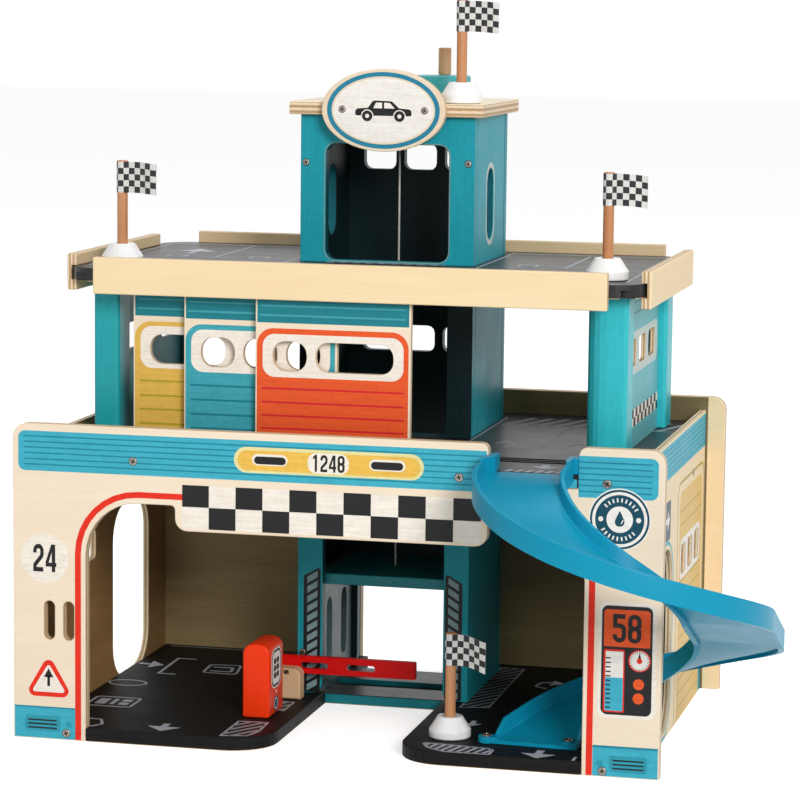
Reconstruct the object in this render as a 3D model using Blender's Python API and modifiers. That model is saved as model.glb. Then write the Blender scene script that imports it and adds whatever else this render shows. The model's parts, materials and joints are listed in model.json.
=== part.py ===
"""Wooden toy garage with a lift tower, sliding doors, a spiral car ramp, a barrier and flags.

Every size is in millimetres and written once. The helpers turn it into metres.
X runs to the right, Y from the front panel to the back, Z up from the table.
The root empty moves the whole model so that its origin is the middle of its footprint.
"""
import math

import bmesh
import bpy
from mathutils import Matrix, Vector

MM = 0.001
GAP = 0.3

# Boards
PLY = 9.0
THIN = 4.0
EDGE = 0.5

# House, the lower storey
HOUSE_W = 430.0
HOUSE_D = 283.5
PANEL_RISE = 16.9
PANEL_CORNER = 9.0
PILLAR_W = 49.6
ARCH_DROP = 32.6
ARCH_CORNER = 36.0
PELMET_START = 61.2
PELMET_DROP = 16.5
PELMET_CORNER = 8.0
PELMET_FILLET = 3.0
NOTCH_MARGIN = 54.5
NOTCH_PLAY = 1.2
NOTCH_CORNER = 4.5
NUMBER_SLOT_X = (24.7, 38.0)
NUMBER_SLOT_W = 7.8
NUMBER_SLOT_Z = (66.6, 92.8)
SIDE_INSET = 13.6
SIDE_RISE = 7.9
SIDE_OPENING_MARGIN = (11.3, 12.7)
SIDE_OPENING_LOW = 6.0
SIDE_OPENING_DROP = 63.6
SIDE_OPENING_R = 25.0
SIDE_WINDOW_MARGIN = (36.75, 25.25)
SIDE_WINDOW_BAR = 10.0
SIDE_WINDOW_DROP = (91.6, 71.1)
SLOT_R = 4.0
BACK_OPENING_MARGIN = 5.8
BACK_OPENING_TOP = 80.0

# Decks
LANE_PLAY = 0.2
LANE_CORNER = 30.0
DECK_TOP = 192.6
STOREY_H = 116.3
TOP_INSET_X = 22.3
TOP_INSET_FRONT = 38.3
TOP_INSET_BACK = 15.8
TOP_DECK_CORNER = 22.0

# Tower and its openings
TOWER_W = 120.66
TOWER_D = 107.9
TOWER_BACK = 32.9
TOWER_RISE = 99.2
JAMB_W = 17.63
GROUND_HEAD = 22.6
MIDDLE_HEAD = 21.9
TOP_HEAD = 19.1
TOP_SILL = 1.4
DOORWAY_CORNER = 7.0
TOWER_SLOT_Y = 52.5
TOWER_SLOT_W = 21.8
TOWER_SLOT_Z = (14.1, 62.9)
WINDOW_W = 23.3
WINDOW_H = 18.4
WINDOW_PITCH = 29.2
WINDOW_R = 5.0
WINDOW_DROP = (61.5, 32.3)
ROOF_EAVE = 6.4
ROOF_T = 8.8
SIGN_W = 85.2
SIGN_H = 55.2
SIGN_T = 6.0
SIGN_RISE = 4.2

# Middle storey
POST_D = 25.0
POST_CLEAR = 1.5
POST_INSET = 12.7
REAR_POST_INSET = 15.9
NARROW_POST_W = 17.7
WIDE_POST_W = 28.0
WIDE_POST_R = 14.0
POST_R = 2.5
WALL_T = 3.0
WALL_INSET = 6.0
WALL_WINDOW_MARGIN = 18.45
WALL_WINDOW_BAR = 11.25
WALL_WINDOW_Z = (55.1, 73.2)

# Fascia boards round the top deck
FASCIA_T = 6.5
FASCIA_H = 24.0
FASCIA_DROP = 7.2
FASCIA_INSET = (14.5, 32.3)
FASCIA_PROUD = 3.0

# Sliding doors: each has three window cells, some of them joined
DOOR_W = 104.0
DOOR_T = 5.0
DOOR_PITCH = 7.0
DOOR_INSET = 1.7
DOOR_SINK = 2.6
DOOR_RISE = 2.1
DOOR_WINDOW_Z = (52.9, 72.4)
DOOR_WINDOW_R = 8.5
DOOR_WINDOW_MARGIN = 11.5
DOOR_WINDOW_BAR = 6.0
TOP_GROOVE = 5.4
DOORS = {
    "door_front": (100.3, ((0, 0), (1, 2))),
    "door_middle": (49.5, ((0, 0), (1, 1), (2, 2))),
    "door_rear": (12.3, ((0, 1), (2, 2))),
}

# Spiral ramp
RAMP_R = 65.8
RAMP_WIDTH = 57.0
RAMP_SHIFT = 2.7
RAMP_WALL = 3.6
RAMP_FLOOR = 2.4
RAMP_WALL_UP = 9.5
RAMP_FILLET = 1.2
RAMP_RIB = 2.6
RAMP_RIB_FADE = 60.0
RAMP_DRAFT = 0.8
RAMP_FRONT_Y = -28.0
RAMP_REAR_Y = 24.0
RAMP_END_ANGLE = 4.3
RAMP_EASE_IN = 70.0
RAMP_EASE_OUT = 30.0
RAMP_STATIONS = 64
RAMP_END_SLOPE = 12.0
RAMP_END_WALL = 0.16
JAW_W = 5.2
JAW_BULGE = 0.4
JAW_LEAD = 16.0
JAW_REACH = 11.0
JAW_RISE = 0.8
JAW_CORNER = 2.2
EAR_R = 5.6
EAR_H = 4.0
EAR_HOLE = 1.9
EAR_BACK = (2.4, 12.0)
EAR_OUT = 3.9
EAR_IN = 4.4

# Lift
CABIN_SIDE_CLEAR = 0.53
CABIN_CLEAR = 0.8
CABIN_H = 92.0
CABIN_BOARD = 7.5
CABIN_SLOT_Y = (26.4, 66.9)
CABIN_SLOT_W = 15.4
CABIN_SLOT_Z = (22.6, 70.3)
CABIN_GROOVE_Y = (30.3, 51.3)
CABIN_GROOVE = 3.5
CORD_R = 0.8
CORD_X = -3.5

# Crank above the roof and the spool below it
CRANK_X = 23.4
CRANK_BACK = 8.35
KNOB_R = 19.5
KNOB_H = 15.8
KNOB_CLEAR = 1.2
AXLE_R = 4.2
AXLE_DEPTH = 10.0
HANDLE_R = 4.4
HANDLE_H = 18.5
HANDLE_OFFSET = 7.0
SPOOL_R = 10.0
SPOOL_FLANGE_R = 14.5
SPOOL_FLANGE_T = 1.6
SPOOL_H = 13.0
SPOOL_CLEAR = 1.0
CORD_CLEAR = 0.2
EYE_R = 3.0
EYE_WIRE = 0.8
EYE_SIDE = 2.1

# Pump and barrier, placed from the edge of the lane and from the tower
PUMP_W = 20.0
PUMP_D = 38.0
PUMP_H = 53.0
PUMP_R = 9.0
PUMP_LANE = 12.5
PUMP_BACK = 23.5
BARRIER_W = 21.0
BARRIER_D = 12.0
BARRIER_H = 21.5
BARRIER_R = 5.0
BARRIER_LANE = 9.5
BARRIER_BACK = 23.2
ARM_T = 4.0
ARM_H = 12.2
ARM_L = 95.3
ARM_RISE = 16.1
ARM_TAIL = 6.9
ARM_INSET = 4.0
ARM_PIVOT = 2.7
ARM_SLOTS = ((14.0, 33.5), (46.3, 66.8))
ARM_SLOT_Z = (3.5, 7.8)
PIN_R = 1.2
PIN_HEAD_R = 2.6
PIN_HEAD_T = 1.2

# Flags, placed from the edges of what they stand on
FLAG_POLE_R = 3.5
FLAG_POLE_H = 69.0
FLAG_BASE_R = 13.8
FLAG_BASE_RIM = 6.5
FLAG_BASE_TOP_R = 8.2
FLAG_BASE_H = 14.0
FLAG_BORE = 12.0
FLAG_TOP_INSET = (28.9, 34.3)
FLAG_ROOF_INSET = (18.3, 16.2)
FLAG_GROUND_INSET = (28.0, 43.0)
FLAG_HEADINGS = {"flag_left": -8.0, "flag_right": 6.0, "flag_roof": 2.0, "flag_ground": -12.0}
CLOTH_L = 31.0
CLOTH_H = 20.5
CLOTH_T = 0.8
CLOTH_WAVE = 1.6

# Colours, linear
PLY_WOOD = (0.72, 0.51, 0.29)
TEAL = (0.03, 0.26, 0.27)
BLACK = (0.012, 0.014, 0.015)
CREAM = (0.87, 0.78, 0.62)
RAMP_BLUE = (0.01, 0.28, 0.48)
ORANGE = (0.83, 0.12, 0.03)
RED = (0.72, 0.03, 0.02)
YELLOW = (0.72, 0.52, 0.14)
SKY = (0.08, 0.40, 0.50)
BEECH = (0.66, 0.36, 0.18)
WHITE = (0.86, 0.85, 0.82)
BRASS = (0.55, 0.50, 0.42)
STRING = (0.60, 0.58, 0.54)

# Derived places of the house
HALF_W = HOUSE_W / 2
BACK_Y = HOUSE_D - PLY
SIDE_X = HALF_W - SIDE_INSET
INNER_X = SIDE_X - THIN - GAP
PANEL_H = DECK_TOP + PANEL_RISE
SIDE_H = DECK_TOP + SIDE_RISE
ARCH_X = HALF_W - PILLAR_W
ARCH_TOP = DECK_TOP - ARCH_DROP
PELMET_Z = ARCH_TOP - PELMET_DROP
NOTCH = (HALF_W - NOTCH_MARGIN - NOTCH_PLAY - RAMP_WIDTH, HALF_W - NOTCH_MARGIN)
PELMET = (PELMET_START - ARCH_X, NOTCH[0])
DECK_Z = DECK_TOP - PLY

# Derived places of the tower and the top deck
TOP_DECK_TOP = DECK_TOP + STOREY_H
TOP_DECK_Z = TOP_DECK_TOP - PLY
TOP_DECK_X = HALF_W - TOP_INSET_X
TOP_DECK_Y = (TOP_INSET_FRONT, HOUSE_D - TOP_INSET_BACK)
TOWER_X = TOWER_W / 2
TOWER_Y = (HOUSE_D - TOWER_BACK - TOWER_D, HOUSE_D - TOWER_BACK)
TOWER_H = TOP_DECK_TOP + TOWER_RISE
SHAFT_X = TOWER_X - PLY
SHAFT_Y = (TOWER_Y[0] + PLY, TOWER_Y[1] - PLY)
DOORWAY_X = TOWER_X - JAMB_W
LANE_X = DOORWAY_X - LANE_PLAY
ROOF_X = TOWER_X + ROOF_EAVE
ROOF_Y = (TOWER_Y[0] - ROOF_EAVE, TOWER_Y[1] + ROOF_EAVE)
ROOF_Z = TOWER_H + GAP
ROOF_TOP = ROOF_Z + ROOF_T
POST_X = TOP_DECK_X - POST_INSET
DOOR_FIRST_Y = TOP_DECK_Y[0] + DOOR_INSET
FRONT_POST_Y = DOOR_FIRST_Y + (len(DOORS) - 1) * DOOR_PITCH + DOOR_T + POST_CLEAR
REAR_POST_Y = TOP_DECK_Y[1] - REAR_POST_INSET - POST_D

# Derived places of the ramp
LEAD_X = (NOTCH[0] + NOTCH[1]) / 2 - RAMP_SHIFT
RAMP_X = LEAD_X + RAMP_R
RAMP_TOP = DECK_TOP - GAP
RAMP_END = PLY + GAP + RAMP_FLOOR
RAMP_REACH_X = RAMP_X + RAMP_R + RAMP_WIDTH / 2
RAMP_REACH_Y = RAMP_FRONT_Y - RAMP_R - RAMP_WIDTH / 2
RAMP_CROSSING_Y = RAMP_REAR_Y + RAMP_R
SIDE_OPENING_Y = (RAMP_CROSSING_Y - RAMP_WIDTH / 2 - SIDE_OPENING_MARGIN[0],
                  RAMP_CROSSING_Y + RAMP_WIDTH / 2 + SIDE_OPENING_MARGIN[1])

# Derived places of the lift and its crank
CABIN_Y = (SHAFT_Y[0] + CABIN_CLEAR, SHAFT_Y[1] - CABIN_CLEAR)
CABIN_X = SHAFT_X - CABIN_SIDE_CLEAR
CRANK_Y = (SHAFT_Y[0] + SHAFT_Y[1]) / 2 + CRANK_BACK
KNOB_Z = ROOF_TOP + KNOB_CLEAR
SPOOL_Z = ROOF_Z - SPOOL_CLEAR - SPOOL_H
CORD_Y = CRANK_Y - SPOOL_R - CORD_R - CORD_CLEAR
CORD_LEAD_Z = SPOOL_Z + SPOOL_H / 2

# Derived places of the pump and the barrier
BARRIER_X = (-LANE_X - BARRIER_LANE - BARRIER_W, -LANE_X - BARRIER_LANE)
BARRIER_Y = TOWER_Y[0] - BARRIER_BACK
PUMP_X = -LANE_X - PUMP_LANE - PUMP_W
PUMP_Y = (BARRIER_Y - PUMP_BACK - PUMP_D, BARRIER_Y - PUMP_BACK)
ARM_Z = PLY + ARM_RISE
ORIGIN = ((RAMP_REACH_X - HALF_W) / 2, (RAMP_REACH_Y + HOUSE_D) / 2)


def clear_scene():
    for item in list(bpy.data.objects):
        bpy.data.objects.remove(item)


def collection(name):
    made = bpy.data.collections.new(name)
    bpy.context.scene.collection.children.link(made)
    return made


clear_scene()
PARTS = collection("toy_garage")
CUTTERS = collection("cutters")
ROOT = bpy.data.objects.new("garage_origin", None)
PARTS.objects.link(ROOT)
ROOT.location = Vector((-ORIGIN[0], -ORIGIN[1], 0.0)) * MM


def paint(item, colour, rough, metal=0.0):
    """Give an object its own Principled material."""
    made = bpy.data.materials.new(item.name)
    made.use_nodes = True
    shader = made.node_tree.nodes["Principled BSDF"]
    shader.inputs["Base Color"].default_value = (*colour, 1.0)
    shader.inputs["Roughness"].default_value = rough
    shader.inputs["Metallic"].default_value = metal
    item.data.materials.append(made)


def pivot(name, x, y, z):
    """An empty on a moving piece's joint axis."""
    made = bpy.data.objects.new(name, None)
    PARTS.objects.link(made)
    made.parent = ROOT
    made.location = Vector((x, y, z)) * MM
    return made


def place(item, x, y, z, parent=None):
    """Put an object at a point of the model, under the root or a pivot."""
    PARTS.objects.link(item)
    item.parent = parent or ROOT
    base = parent.location if parent else Vector((0.0, 0.0, 0.0))
    item.location = Vector((x, y, z)) * MM - base
    return item


def add(name, mesh, spot, colour, rough=0.55, parent=None, metal=0.0, smooth=False):
    item = bpy.data.objects.new(name, mesh)
    mesh.materials.clear()
    place(item, *spot, parent)
    paint(item, colour, rough, metal)
    if smooth:
        mesh.shade_smooth()
        mesh.set_sharp_from_angle(angle=math.radians(35))
    return item


def box_mesh(size):
    mesh = bpy.data.meshes.new("box")
    build = bmesh.new()
    bmesh.ops.create_cube(build, size=1.0, matrix=Matrix.Diagonal((*(v * MM for v in size), 1.0)))
    build.to_mesh(mesh)
    build.free()
    return mesh


def middle(spans):
    return tuple((low + high) / 2 for low, high in spans)


def lengths(spans):
    return tuple(high - low for low, high in spans)


def block(name, x, y, z, colour, rough=0.55, parent=None, bevel=EDGE):
    """A board or block between three pairs of faces, its edges slightly broken."""
    spans = (x, y, z)
    item = add(name, box_mesh(lengths(spans)), middle(spans), colour, rough, parent)
    if bevel:
        soften = item.modifiers.new("broken_edges", "BEVEL")
        soften.width = bevel * MM
        soften.segments = 1
    return item


def cutter(name, x, y, z):
    spans = (x, y, z)
    item = bpy.data.objects.new(name, box_mesh(lengths(spans)))
    CUTTERS.objects.link(item)
    item.parent = ROOT
    item.location = Vector(middle(spans)) * MM
    item.hide_render = True
    item.display_type = "WIRE"
    return item


def combine(item, tool, operation):
    made = item.modifiers.new(tool.name, "BOOLEAN")
    made.operation = operation
    made.solver = "EXACT"
    made.object = tool


def cut(item, tool):
    combine(item, tool, "DIFFERENCE")


def as_tool(item):
    """Keep a shape only for cutting or joining another one."""
    PARTS.objects.unlink(item)
    CUTTERS.objects.link(item)
    item.hide_render = True
    item.display_type = "WIRE"
    return item


def cylinder_mesh(radius, height, sides=16):
    """A cylinder standing on its own origin."""
    mesh = bpy.data.meshes.new("cylinder")
    build = bmesh.new()
    bmesh.ops.create_cone(build, cap_ends=True, segments=sides, radius1=radius * MM,
                          radius2=radius * MM, depth=height * MM,
                          matrix=Matrix.Translation((0.0, 0.0, height * MM / 2)))
    build.to_mesh(mesh)
    build.free()
    return mesh


def rod(name, spot, radius, height, colour, rough=0.5, parent=None, turn=None, metal=0.0):
    """A dowel from a point, upright unless turned."""
    item = add(name, cylinder_mesh(radius, height), spot, colour, rough, parent, metal, smooth=True)
    if turn:
        item.rotation_euler = tuple(math.radians(angle) for angle in turn)
    return item


def turned(name, profile, spot, colour, rough=0.5, parent=None, sides=20):
    """A turned piece: a closed profile of radius and height, from top to bottom, spun round Z."""
    mesh = bpy.data.meshes.new(name)
    build = bmesh.new()
    points = [build.verts.new((radius * MM, 0.0, height * MM)) for radius, height in profile]
    for first, second in zip(points, points[1:]):
        build.edges.new((first, second))
    if profile[0][0] > 0.0:
        build.edges.new((points[-1], points[0]))
    build.to_mesh(mesh)
    build.free()
    item = add(name, mesh, spot, colour, rough, parent)
    spin = item.modifiers.new("turning", "SCREW")
    spin.steps = sides
    spin.render_steps = sides
    spin.use_merge_vertices = True
    spin.merge_threshold = 0.00001
    spin.use_smooth_shade = True
    return item


def arc(corner, before, after, radius, steps):
    """Points of the fillet of one corner between its neighbours."""
    corner, before, after = Vector(corner), Vector(before), Vector(after)
    first = (before - corner).normalized()
    second = (after - corner).normalized()
    half = first.angle(second) / 2
    reach = radius / math.tan(half)
    centre = corner + (first + second).normalized() * radius / math.sin(half)
    start = corner + first * reach - centre
    end = corner + second * reach - centre
    turn = start.angle_signed(end)
    return [centre + Matrix.Rotation(-turn * step / steps, 2) @ start for step in range(steps + 1)]


def rounded(corners):
    """An outline from corners of (u, v) or (u, v, radius)."""
    outline = []
    count = len(corners)
    for index, corner in enumerate(corners):
        if len(corner) == 2:
            outline.append(Vector(corner))
            continue
        before = corners[index - 1][:2]
        after = corners[(index + 1) % count][:2]
        radius = corner[2]
        steps = 3 if radius < 6.0 else 5 if radius < 20.0 else 8
        outline += arc(corner[:2], before, after, radius, steps)
    return outline


def rectangle(u, v, radius=0.0):
    """A rectangle whose corner radius is at most half of its shorter side."""
    corners = [(u[0], v[0]), (u[1], v[0]), (u[1], v[1]), (u[0], v[1])]
    if radius:
        limit = min(u[1] - u[0], v[1] - v[0]) / 2 - 0.1
        corners = [(*corner, min(radius, limit)) for corner in corners]
    return rounded(corners)


def cells(low, high, bar, count=3):
    """Equal spans between two ends, parted by bars."""
    width = (high - low - bar * (count - 1)) / count
    starts = [low + index * (width + bar) for index in range(count)]
    return [(start, start + width) for start in starts]


def ellipse(width, height, steps=48, centre=(0.0, 0.0)):
    turns = [2 * math.pi * step / steps for step in range(steps)]
    return [Vector((centre[0] + width / 2 * math.cos(a), centre[1] + height / 2 * math.sin(a)))
            for a in turns]


def signed_area(outline):
    pairs = zip(outline, outline[1:] + outline[:1])
    return sum(a.x * b.y - b.x * a.y for a, b in pairs) / 2


TURNS = {"XY": (0.0, 0.0), "XZ": (90.0, 0.0), "YZ": (90.0, 90.0)}


def plate(name, plane, start, thickness, outline, holes, colour, rough=0.55, parent=None, edge=EDGE):
    """A flat board: a filled outline with holes, extruded and with its edges rounded.

    The plane names the two model axes of the outline. The board runs from start along the third.
    """
    curve = bpy.data.curves.new(name, "CURVE")
    curve.dimensions = "2D"
    curve.fill_mode = "BOTH"
    curve.extrude = (thickness / 2 - edge) * MM
    curve.bevel_depth = edge * MM
    curve.bevel_resolution = 0
    curve.offset = -edge * MM
    for index, loop in enumerate([outline, *holes]):
        if (signed_area(loop) > 0.0) == bool(index):
            loop = list(reversed(loop))
        spline = curve.splines.new("POLY")
        spline.points.add(len(loop) - 1)
        for point, spot in zip(spline.points, loop):
            point.co = (spot.x * MM, spot.y * MM, 0.0, 1.0)
        spline.use_cyclic_u = True
    shape = bpy.data.objects.new(name + "_outline", curve)
    bpy.context.scene.collection.objects.link(shape)
    graph = bpy.context.evaluated_depsgraph_get()
    mesh = bpy.data.meshes.new_from_object(shape.evaluated_get(graph))
    bpy.data.objects.remove(shape)
    build = bmesh.new()
    build.from_mesh(mesh)
    bmesh.ops.remove_doubles(build, verts=build.verts, dist=0.00001)
    bmesh.ops.recalc_face_normals(build, faces=build.faces)
    build.to_mesh(mesh)
    build.free()
    centre = start + thickness / 2
    spot = {"XY": (0.0, 0.0, centre), "XZ": (0.0, centre, 0.0), "YZ": (centre, 0.0, 0.0)}[plane]
    item = add(name, mesh, spot, colour, rough, parent)
    tilt, turn = TURNS[plane]
    item.rotation_euler = (math.radians(tilt), 0.0, math.radians(turn))
    return item


def front_panel():
    """The front board: two pillars, the wide arch with its pelmet, and the notch of the ramp."""
    outline = rounded([
        (-HALF_W, 0.0), (-ARCH_X, 0.0), (-ARCH_X, ARCH_TOP, ARCH_CORNER),
        (PELMET[0], ARCH_TOP, PELMET_FILLET), (PELMET[0], PELMET_Z, PELMET_CORNER),
        (PELMET[1], PELMET_Z, PELMET_CORNER), (PELMET[1], ARCH_TOP, PELMET_FILLET),
        (ARCH_X, ARCH_TOP, ARCH_CORNER), (ARCH_X, 0.0), (HALF_W, 0.0),
        (HALF_W, PANEL_H, PANEL_CORNER), (NOTCH[1], PANEL_H, NOTCH_CORNER),
        (NOTCH[1], DECK_Z - GAP), (NOTCH[0], DECK_Z - GAP),
        (NOTCH[0], PANEL_H, NOTCH_CORNER), (-HALF_W, PANEL_H, PANEL_CORNER),
    ])
    half = NUMBER_SLOT_W / 2
    slots = []
    for place_x in NUMBER_SLOT_X:
        x = place_x - HALF_W
        slots.append(rectangle((x - half, x + half), NUMBER_SLOT_Z, NUMBER_SLOT_W))
    plate("front_panel", "XZ", 0.0, PLY, outline, slots, CREAM)


def back_panel():
    half = DOORWAY_X + BACK_OPENING_MARGIN
    outline = rounded([
        (-HALF_W, 0.0), (-half, 0.0), (-half, BACK_OPENING_TOP, DOORWAY_CORNER),
        (half, BACK_OPENING_TOP, DOORWAY_CORNER), (half, 0.0), (HALF_W, 0.0),
        (HALF_W, PANEL_H, PANEL_CORNER), (-HALF_W, PANEL_H, PANEL_CORNER),
    ])
    plate("back_panel", "XZ", BACK_Y, PLY, outline, [], PLY_WOOD)


def side_panel(name, start, turned_round):
    """A thin side with the drive-through opening and three windows; the left one faces the other way."""
    def along(span):
        if not turned_round:
            return span
        return tuple(PLY + BACK_Y - value for value in reversed(span))
    outline = rectangle((PLY + GAP, BACK_Y - GAP), (0.0, SIDE_H))
    opening_z = (SIDE_OPENING_LOW, DECK_TOP - SIDE_OPENING_DROP)
    window_z = tuple(DECK_TOP - drop for drop in SIDE_WINDOW_DROP)
    holes = [rectangle(along(SIDE_OPENING_Y), opening_z, SIDE_OPENING_R)]
    first = SIDE_OPENING_Y[1] + SIDE_WINDOW_MARGIN[0]
    last = BACK_Y - SIDE_WINDOW_MARGIN[1]
    holes += [rectangle(along(span), window_z, SLOT_R) for span in cells(first, last, SIDE_WINDOW_BAR)]
    plate(name, "YZ", start, THIN, outline, holes, YELLOW, edge=0.0)


def ground_board(name, side):
    """One floor board; its inner edge steps round the lift and carries the tower."""
    pocket = SHAFT_X + 0.1
    corners = [
        (LANE_X, 0.0, LANE_CORNER), (ARCH_X - GAP, 0.0), (ARCH_X - GAP, PLY + GAP),
        (INNER_X, PLY + GAP), (INNER_X, BACK_Y - GAP), (LANE_X, BACK_Y - GAP),
        (LANE_X, SHAFT_Y[1] - GAP), (pocket, SHAFT_Y[1] - GAP), (pocket, SHAFT_Y[0] + GAP),
        (LANE_X, SHAFT_Y[0] + GAP),
    ]
    corners = [(side * corner[0], *corner[1:]) for corner in corners]
    plate(name, "XY", 0.0, PLY, rounded(corners), [], BLACK)


def tower_hole():
    return (-TOWER_X - GAP, TOWER_X + GAP), (TOWER_Y[0] - GAP, TOWER_Y[1] + GAP)


def groove_y(index):
    first = DOOR_FIRST_Y + index * DOOR_PITCH
    return (first - GAP, first + DOOR_T + GAP)


def middle_deck():
    """The middle floor with its tongue in the notch and the three door grooves."""
    outline = rectangle((-INNER_X, INNER_X), (0.0, BACK_Y - GAP))
    deck = plate("middle_deck", "XY", DECK_Z, PLY, outline, [], BLACK)
    through = (DECK_Z - 1.0, DECK_TOP + 1.0)
    behind_panel = (-1.0, PLY + GAP)
    cut(deck, cutter("deck_front_left", (-HALF_W, NOTCH[0] + GAP), behind_panel, through))
    cut(deck, cutter("deck_front_right", (NOTCH[1] - GAP, HALF_W), behind_panel, through))
    cut(deck, cutter("deck_tower_hole", *tower_hole(), through))
    for index in range(len(DOORS)):
        depth = (DECK_TOP - DOOR_SINK - GAP, DECK_TOP + 1.0)
        cut(deck, cutter(f"deck_groove_{index}", (-HALF_W, HALF_W), groove_y(index), depth))


def top_deck():
    outline = rectangle((-TOP_DECK_X, TOP_DECK_X), TOP_DECK_Y, TOP_DECK_CORNER)
    deck = plate("top_deck", "XY", TOP_DECK_Z, PLY, outline, [rectangle(*tower_hole())], BLACK)
    reach = TOP_DECK_X + FASCIA_PROUD - FASCIA_T - 2.0
    for index in range(len(DOORS)):
        depth = (TOP_DECK_Z - 1.0, TOP_DECK_Z + TOP_GROOVE)
        cut(deck, cutter(f"top_groove_{index}", (-reach, reach), groove_y(index), depth))


def tower_face(name, start, ground_top, holes):
    """A front or back board of the tower, open at the ground."""
    foot = PLY + GAP
    outline = rounded([
        (-TOWER_X, foot), (-DOORWAY_X, foot, DOORWAY_CORNER), (-DOORWAY_X, ground_top, DOORWAY_CORNER),
        (DOORWAY_X, ground_top, DOORWAY_CORNER), (DOORWAY_X, foot, DOORWAY_CORNER), (TOWER_X, foot),
        (TOWER_X, TOWER_H), (-TOWER_X, TOWER_H),
    ])
    plate(name, "XZ", start, PLY, outline, holes, TEAL)


def tower():
    width = (-DOORWAY_X, DOORWAY_X)
    middle_z = (DECK_TOP + GAP, TOP_DECK_TOP - MIDDLE_HEAD)
    top_z = (TOP_DECK_TOP + TOP_SILL, TOWER_H - TOP_HEAD)
    doorways = [rectangle(width, height, DOORWAY_CORNER) for height in (middle_z, top_z)]
    tower_face("tower_front", TOWER_Y[0], DECK_TOP - GROUND_HEAD, doorways)
    windows = []
    for height in (TOP_DECK_TOP - WINDOW_DROP[0], TOWER_H - WINDOW_DROP[1]):
        for place_x in (-WINDOW_PITCH, 0.0, WINDOW_PITCH):
            x = (place_x - WINDOW_W / 2, place_x + WINDOW_W / 2)
            z = (height - WINDOW_H / 2, height + WINDOW_H / 2)
            windows.append(rectangle(x, z, WINDOW_R))
    tower_face("tower_back", SHAFT_Y[1], BACK_OPENING_TOP, windows)
    slot_middle = TOWER_Y[0] + TOWER_SLOT_Y
    slot_y = (slot_middle - TOWER_SLOT_W / 2, slot_middle + TOWER_SLOT_W / 2)
    slot_z = tuple(TOP_DECK_TOP + rise for rise in TOWER_SLOT_Z)
    for name, start in (("tower_left", -TOWER_X), ("tower_right", SHAFT_X)):
        outline = rectangle((SHAFT_Y[0] + GAP, SHAFT_Y[1] - GAP), (PLY + GAP, TOWER_H))
        plate(name, "YZ", start, PLY, outline, [rectangle(slot_y, slot_z, TOWER_SLOT_W)], TEAL)
    bore = 2 * (AXLE_R + GAP)
    hole = ellipse(bore, bore, 24, (CRANK_X, CRANK_Y))
    plate("tower_roof", "XY", ROOF_Z, ROOF_T, rectangle((-ROOF_X, ROOF_X), ROOF_Y), [hole], PLY_WOOD)
    oval = ellipse(SIGN_W, SIGN_H, centre=(0.0, TOWER_H + SIGN_RISE))
    plate("sign_plate", "XZ", ROOF_Y[0] - GAP - SIGN_T, SIGN_T, oval, [], WHITE)


def posts():
    """Four posts between the decks; the right front one is wider and rounded at one corner."""
    low, high = DECK_TOP + GAP, TOP_DECK_Z - GAP
    for name, side, y, width, big in (
            ("post_front_left", -1.0, FRONT_POST_Y, NARROW_POST_W, POST_R),
            ("post_front_right", 1.0, FRONT_POST_Y, WIDE_POST_W, WIDE_POST_R),
            ("post_rear_left", -1.0, REAR_POST_Y, NARROW_POST_W, POST_R),
            ("post_rear_right", 1.0, REAR_POST_Y, NARROW_POST_W, POST_R)):
        outer, inner = side * POST_X, side * (POST_X - width)
        corners = [(inner, y, big), (outer, y, POST_R), (outer, y + POST_D, POST_R),
                   (inner, y + POST_D, POST_R)]
        plate(name, "XY", low, high - low, rounded(corners), [], TEAL)


def storey_walls():
    """Two thin walls with windows between the posts of the middle storey."""
    y = (FRONT_POST_Y + POST_D + GAP, REAR_POST_Y - GAP)
    z = (DECK_TOP + GAP, TOP_DECK_Z - GAP)
    outer = POST_X - WALL_INSET
    spans = cells(y[0] + WALL_WINDOW_MARGIN, y[1] - WALL_WINDOW_MARGIN, WALL_WINDOW_BAR)
    window_z = tuple(DECK_TOP + rise for rise in WALL_WINDOW_Z)
    for name, start in (("storey_wall_left", -outer), ("storey_wall_right", outer - WALL_T)):
        holes = [rectangle(span, window_z, SLOT_R) for span in spans]
        plate(name, "YZ", start, WALL_T, rectangle(y, z), holes, TEAL, edge=0.0)


def fascias():
    low = TOP_DECK_Z - FASCIA_DROP
    z = (low, low + FASCIA_H)
    straight = TOP_DECK_X - TOP_DECK_CORNER
    front, back = TOP_DECK_Y[0] - GAP, TOP_DECK_Y[1] + GAP
    block("fascia_front", (-straight, straight), (front - FASCIA_T, front), z, PLY_WOOD)
    block("fascia_back", (-straight, straight), (back, back + FASCIA_T), z, PLY_WOOD)
    outer = TOP_DECK_X + FASCIA_PROUD
    inner = outer - FASCIA_T
    y = (TOP_DECK_Y[0] + FASCIA_INSET[0], TOP_DECK_Y[1] - FASCIA_INSET[1])
    slab = (TOP_DECK_Z - GAP, TOP_DECK_TOP + GAP)
    for name, side in (("fascia_left", -1.0), ("fascia_right", 1.0)):
        board = block(name, sorted((side * inner, side * outer)), y, z, PLY_WOOD)
        deep = sorted((side * (inner - 2.0), side * (TOP_DECK_X + GAP)))
        cut(board, cutter(name + "_groove", deep, (0.0, HOUSE_D), slab))


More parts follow.
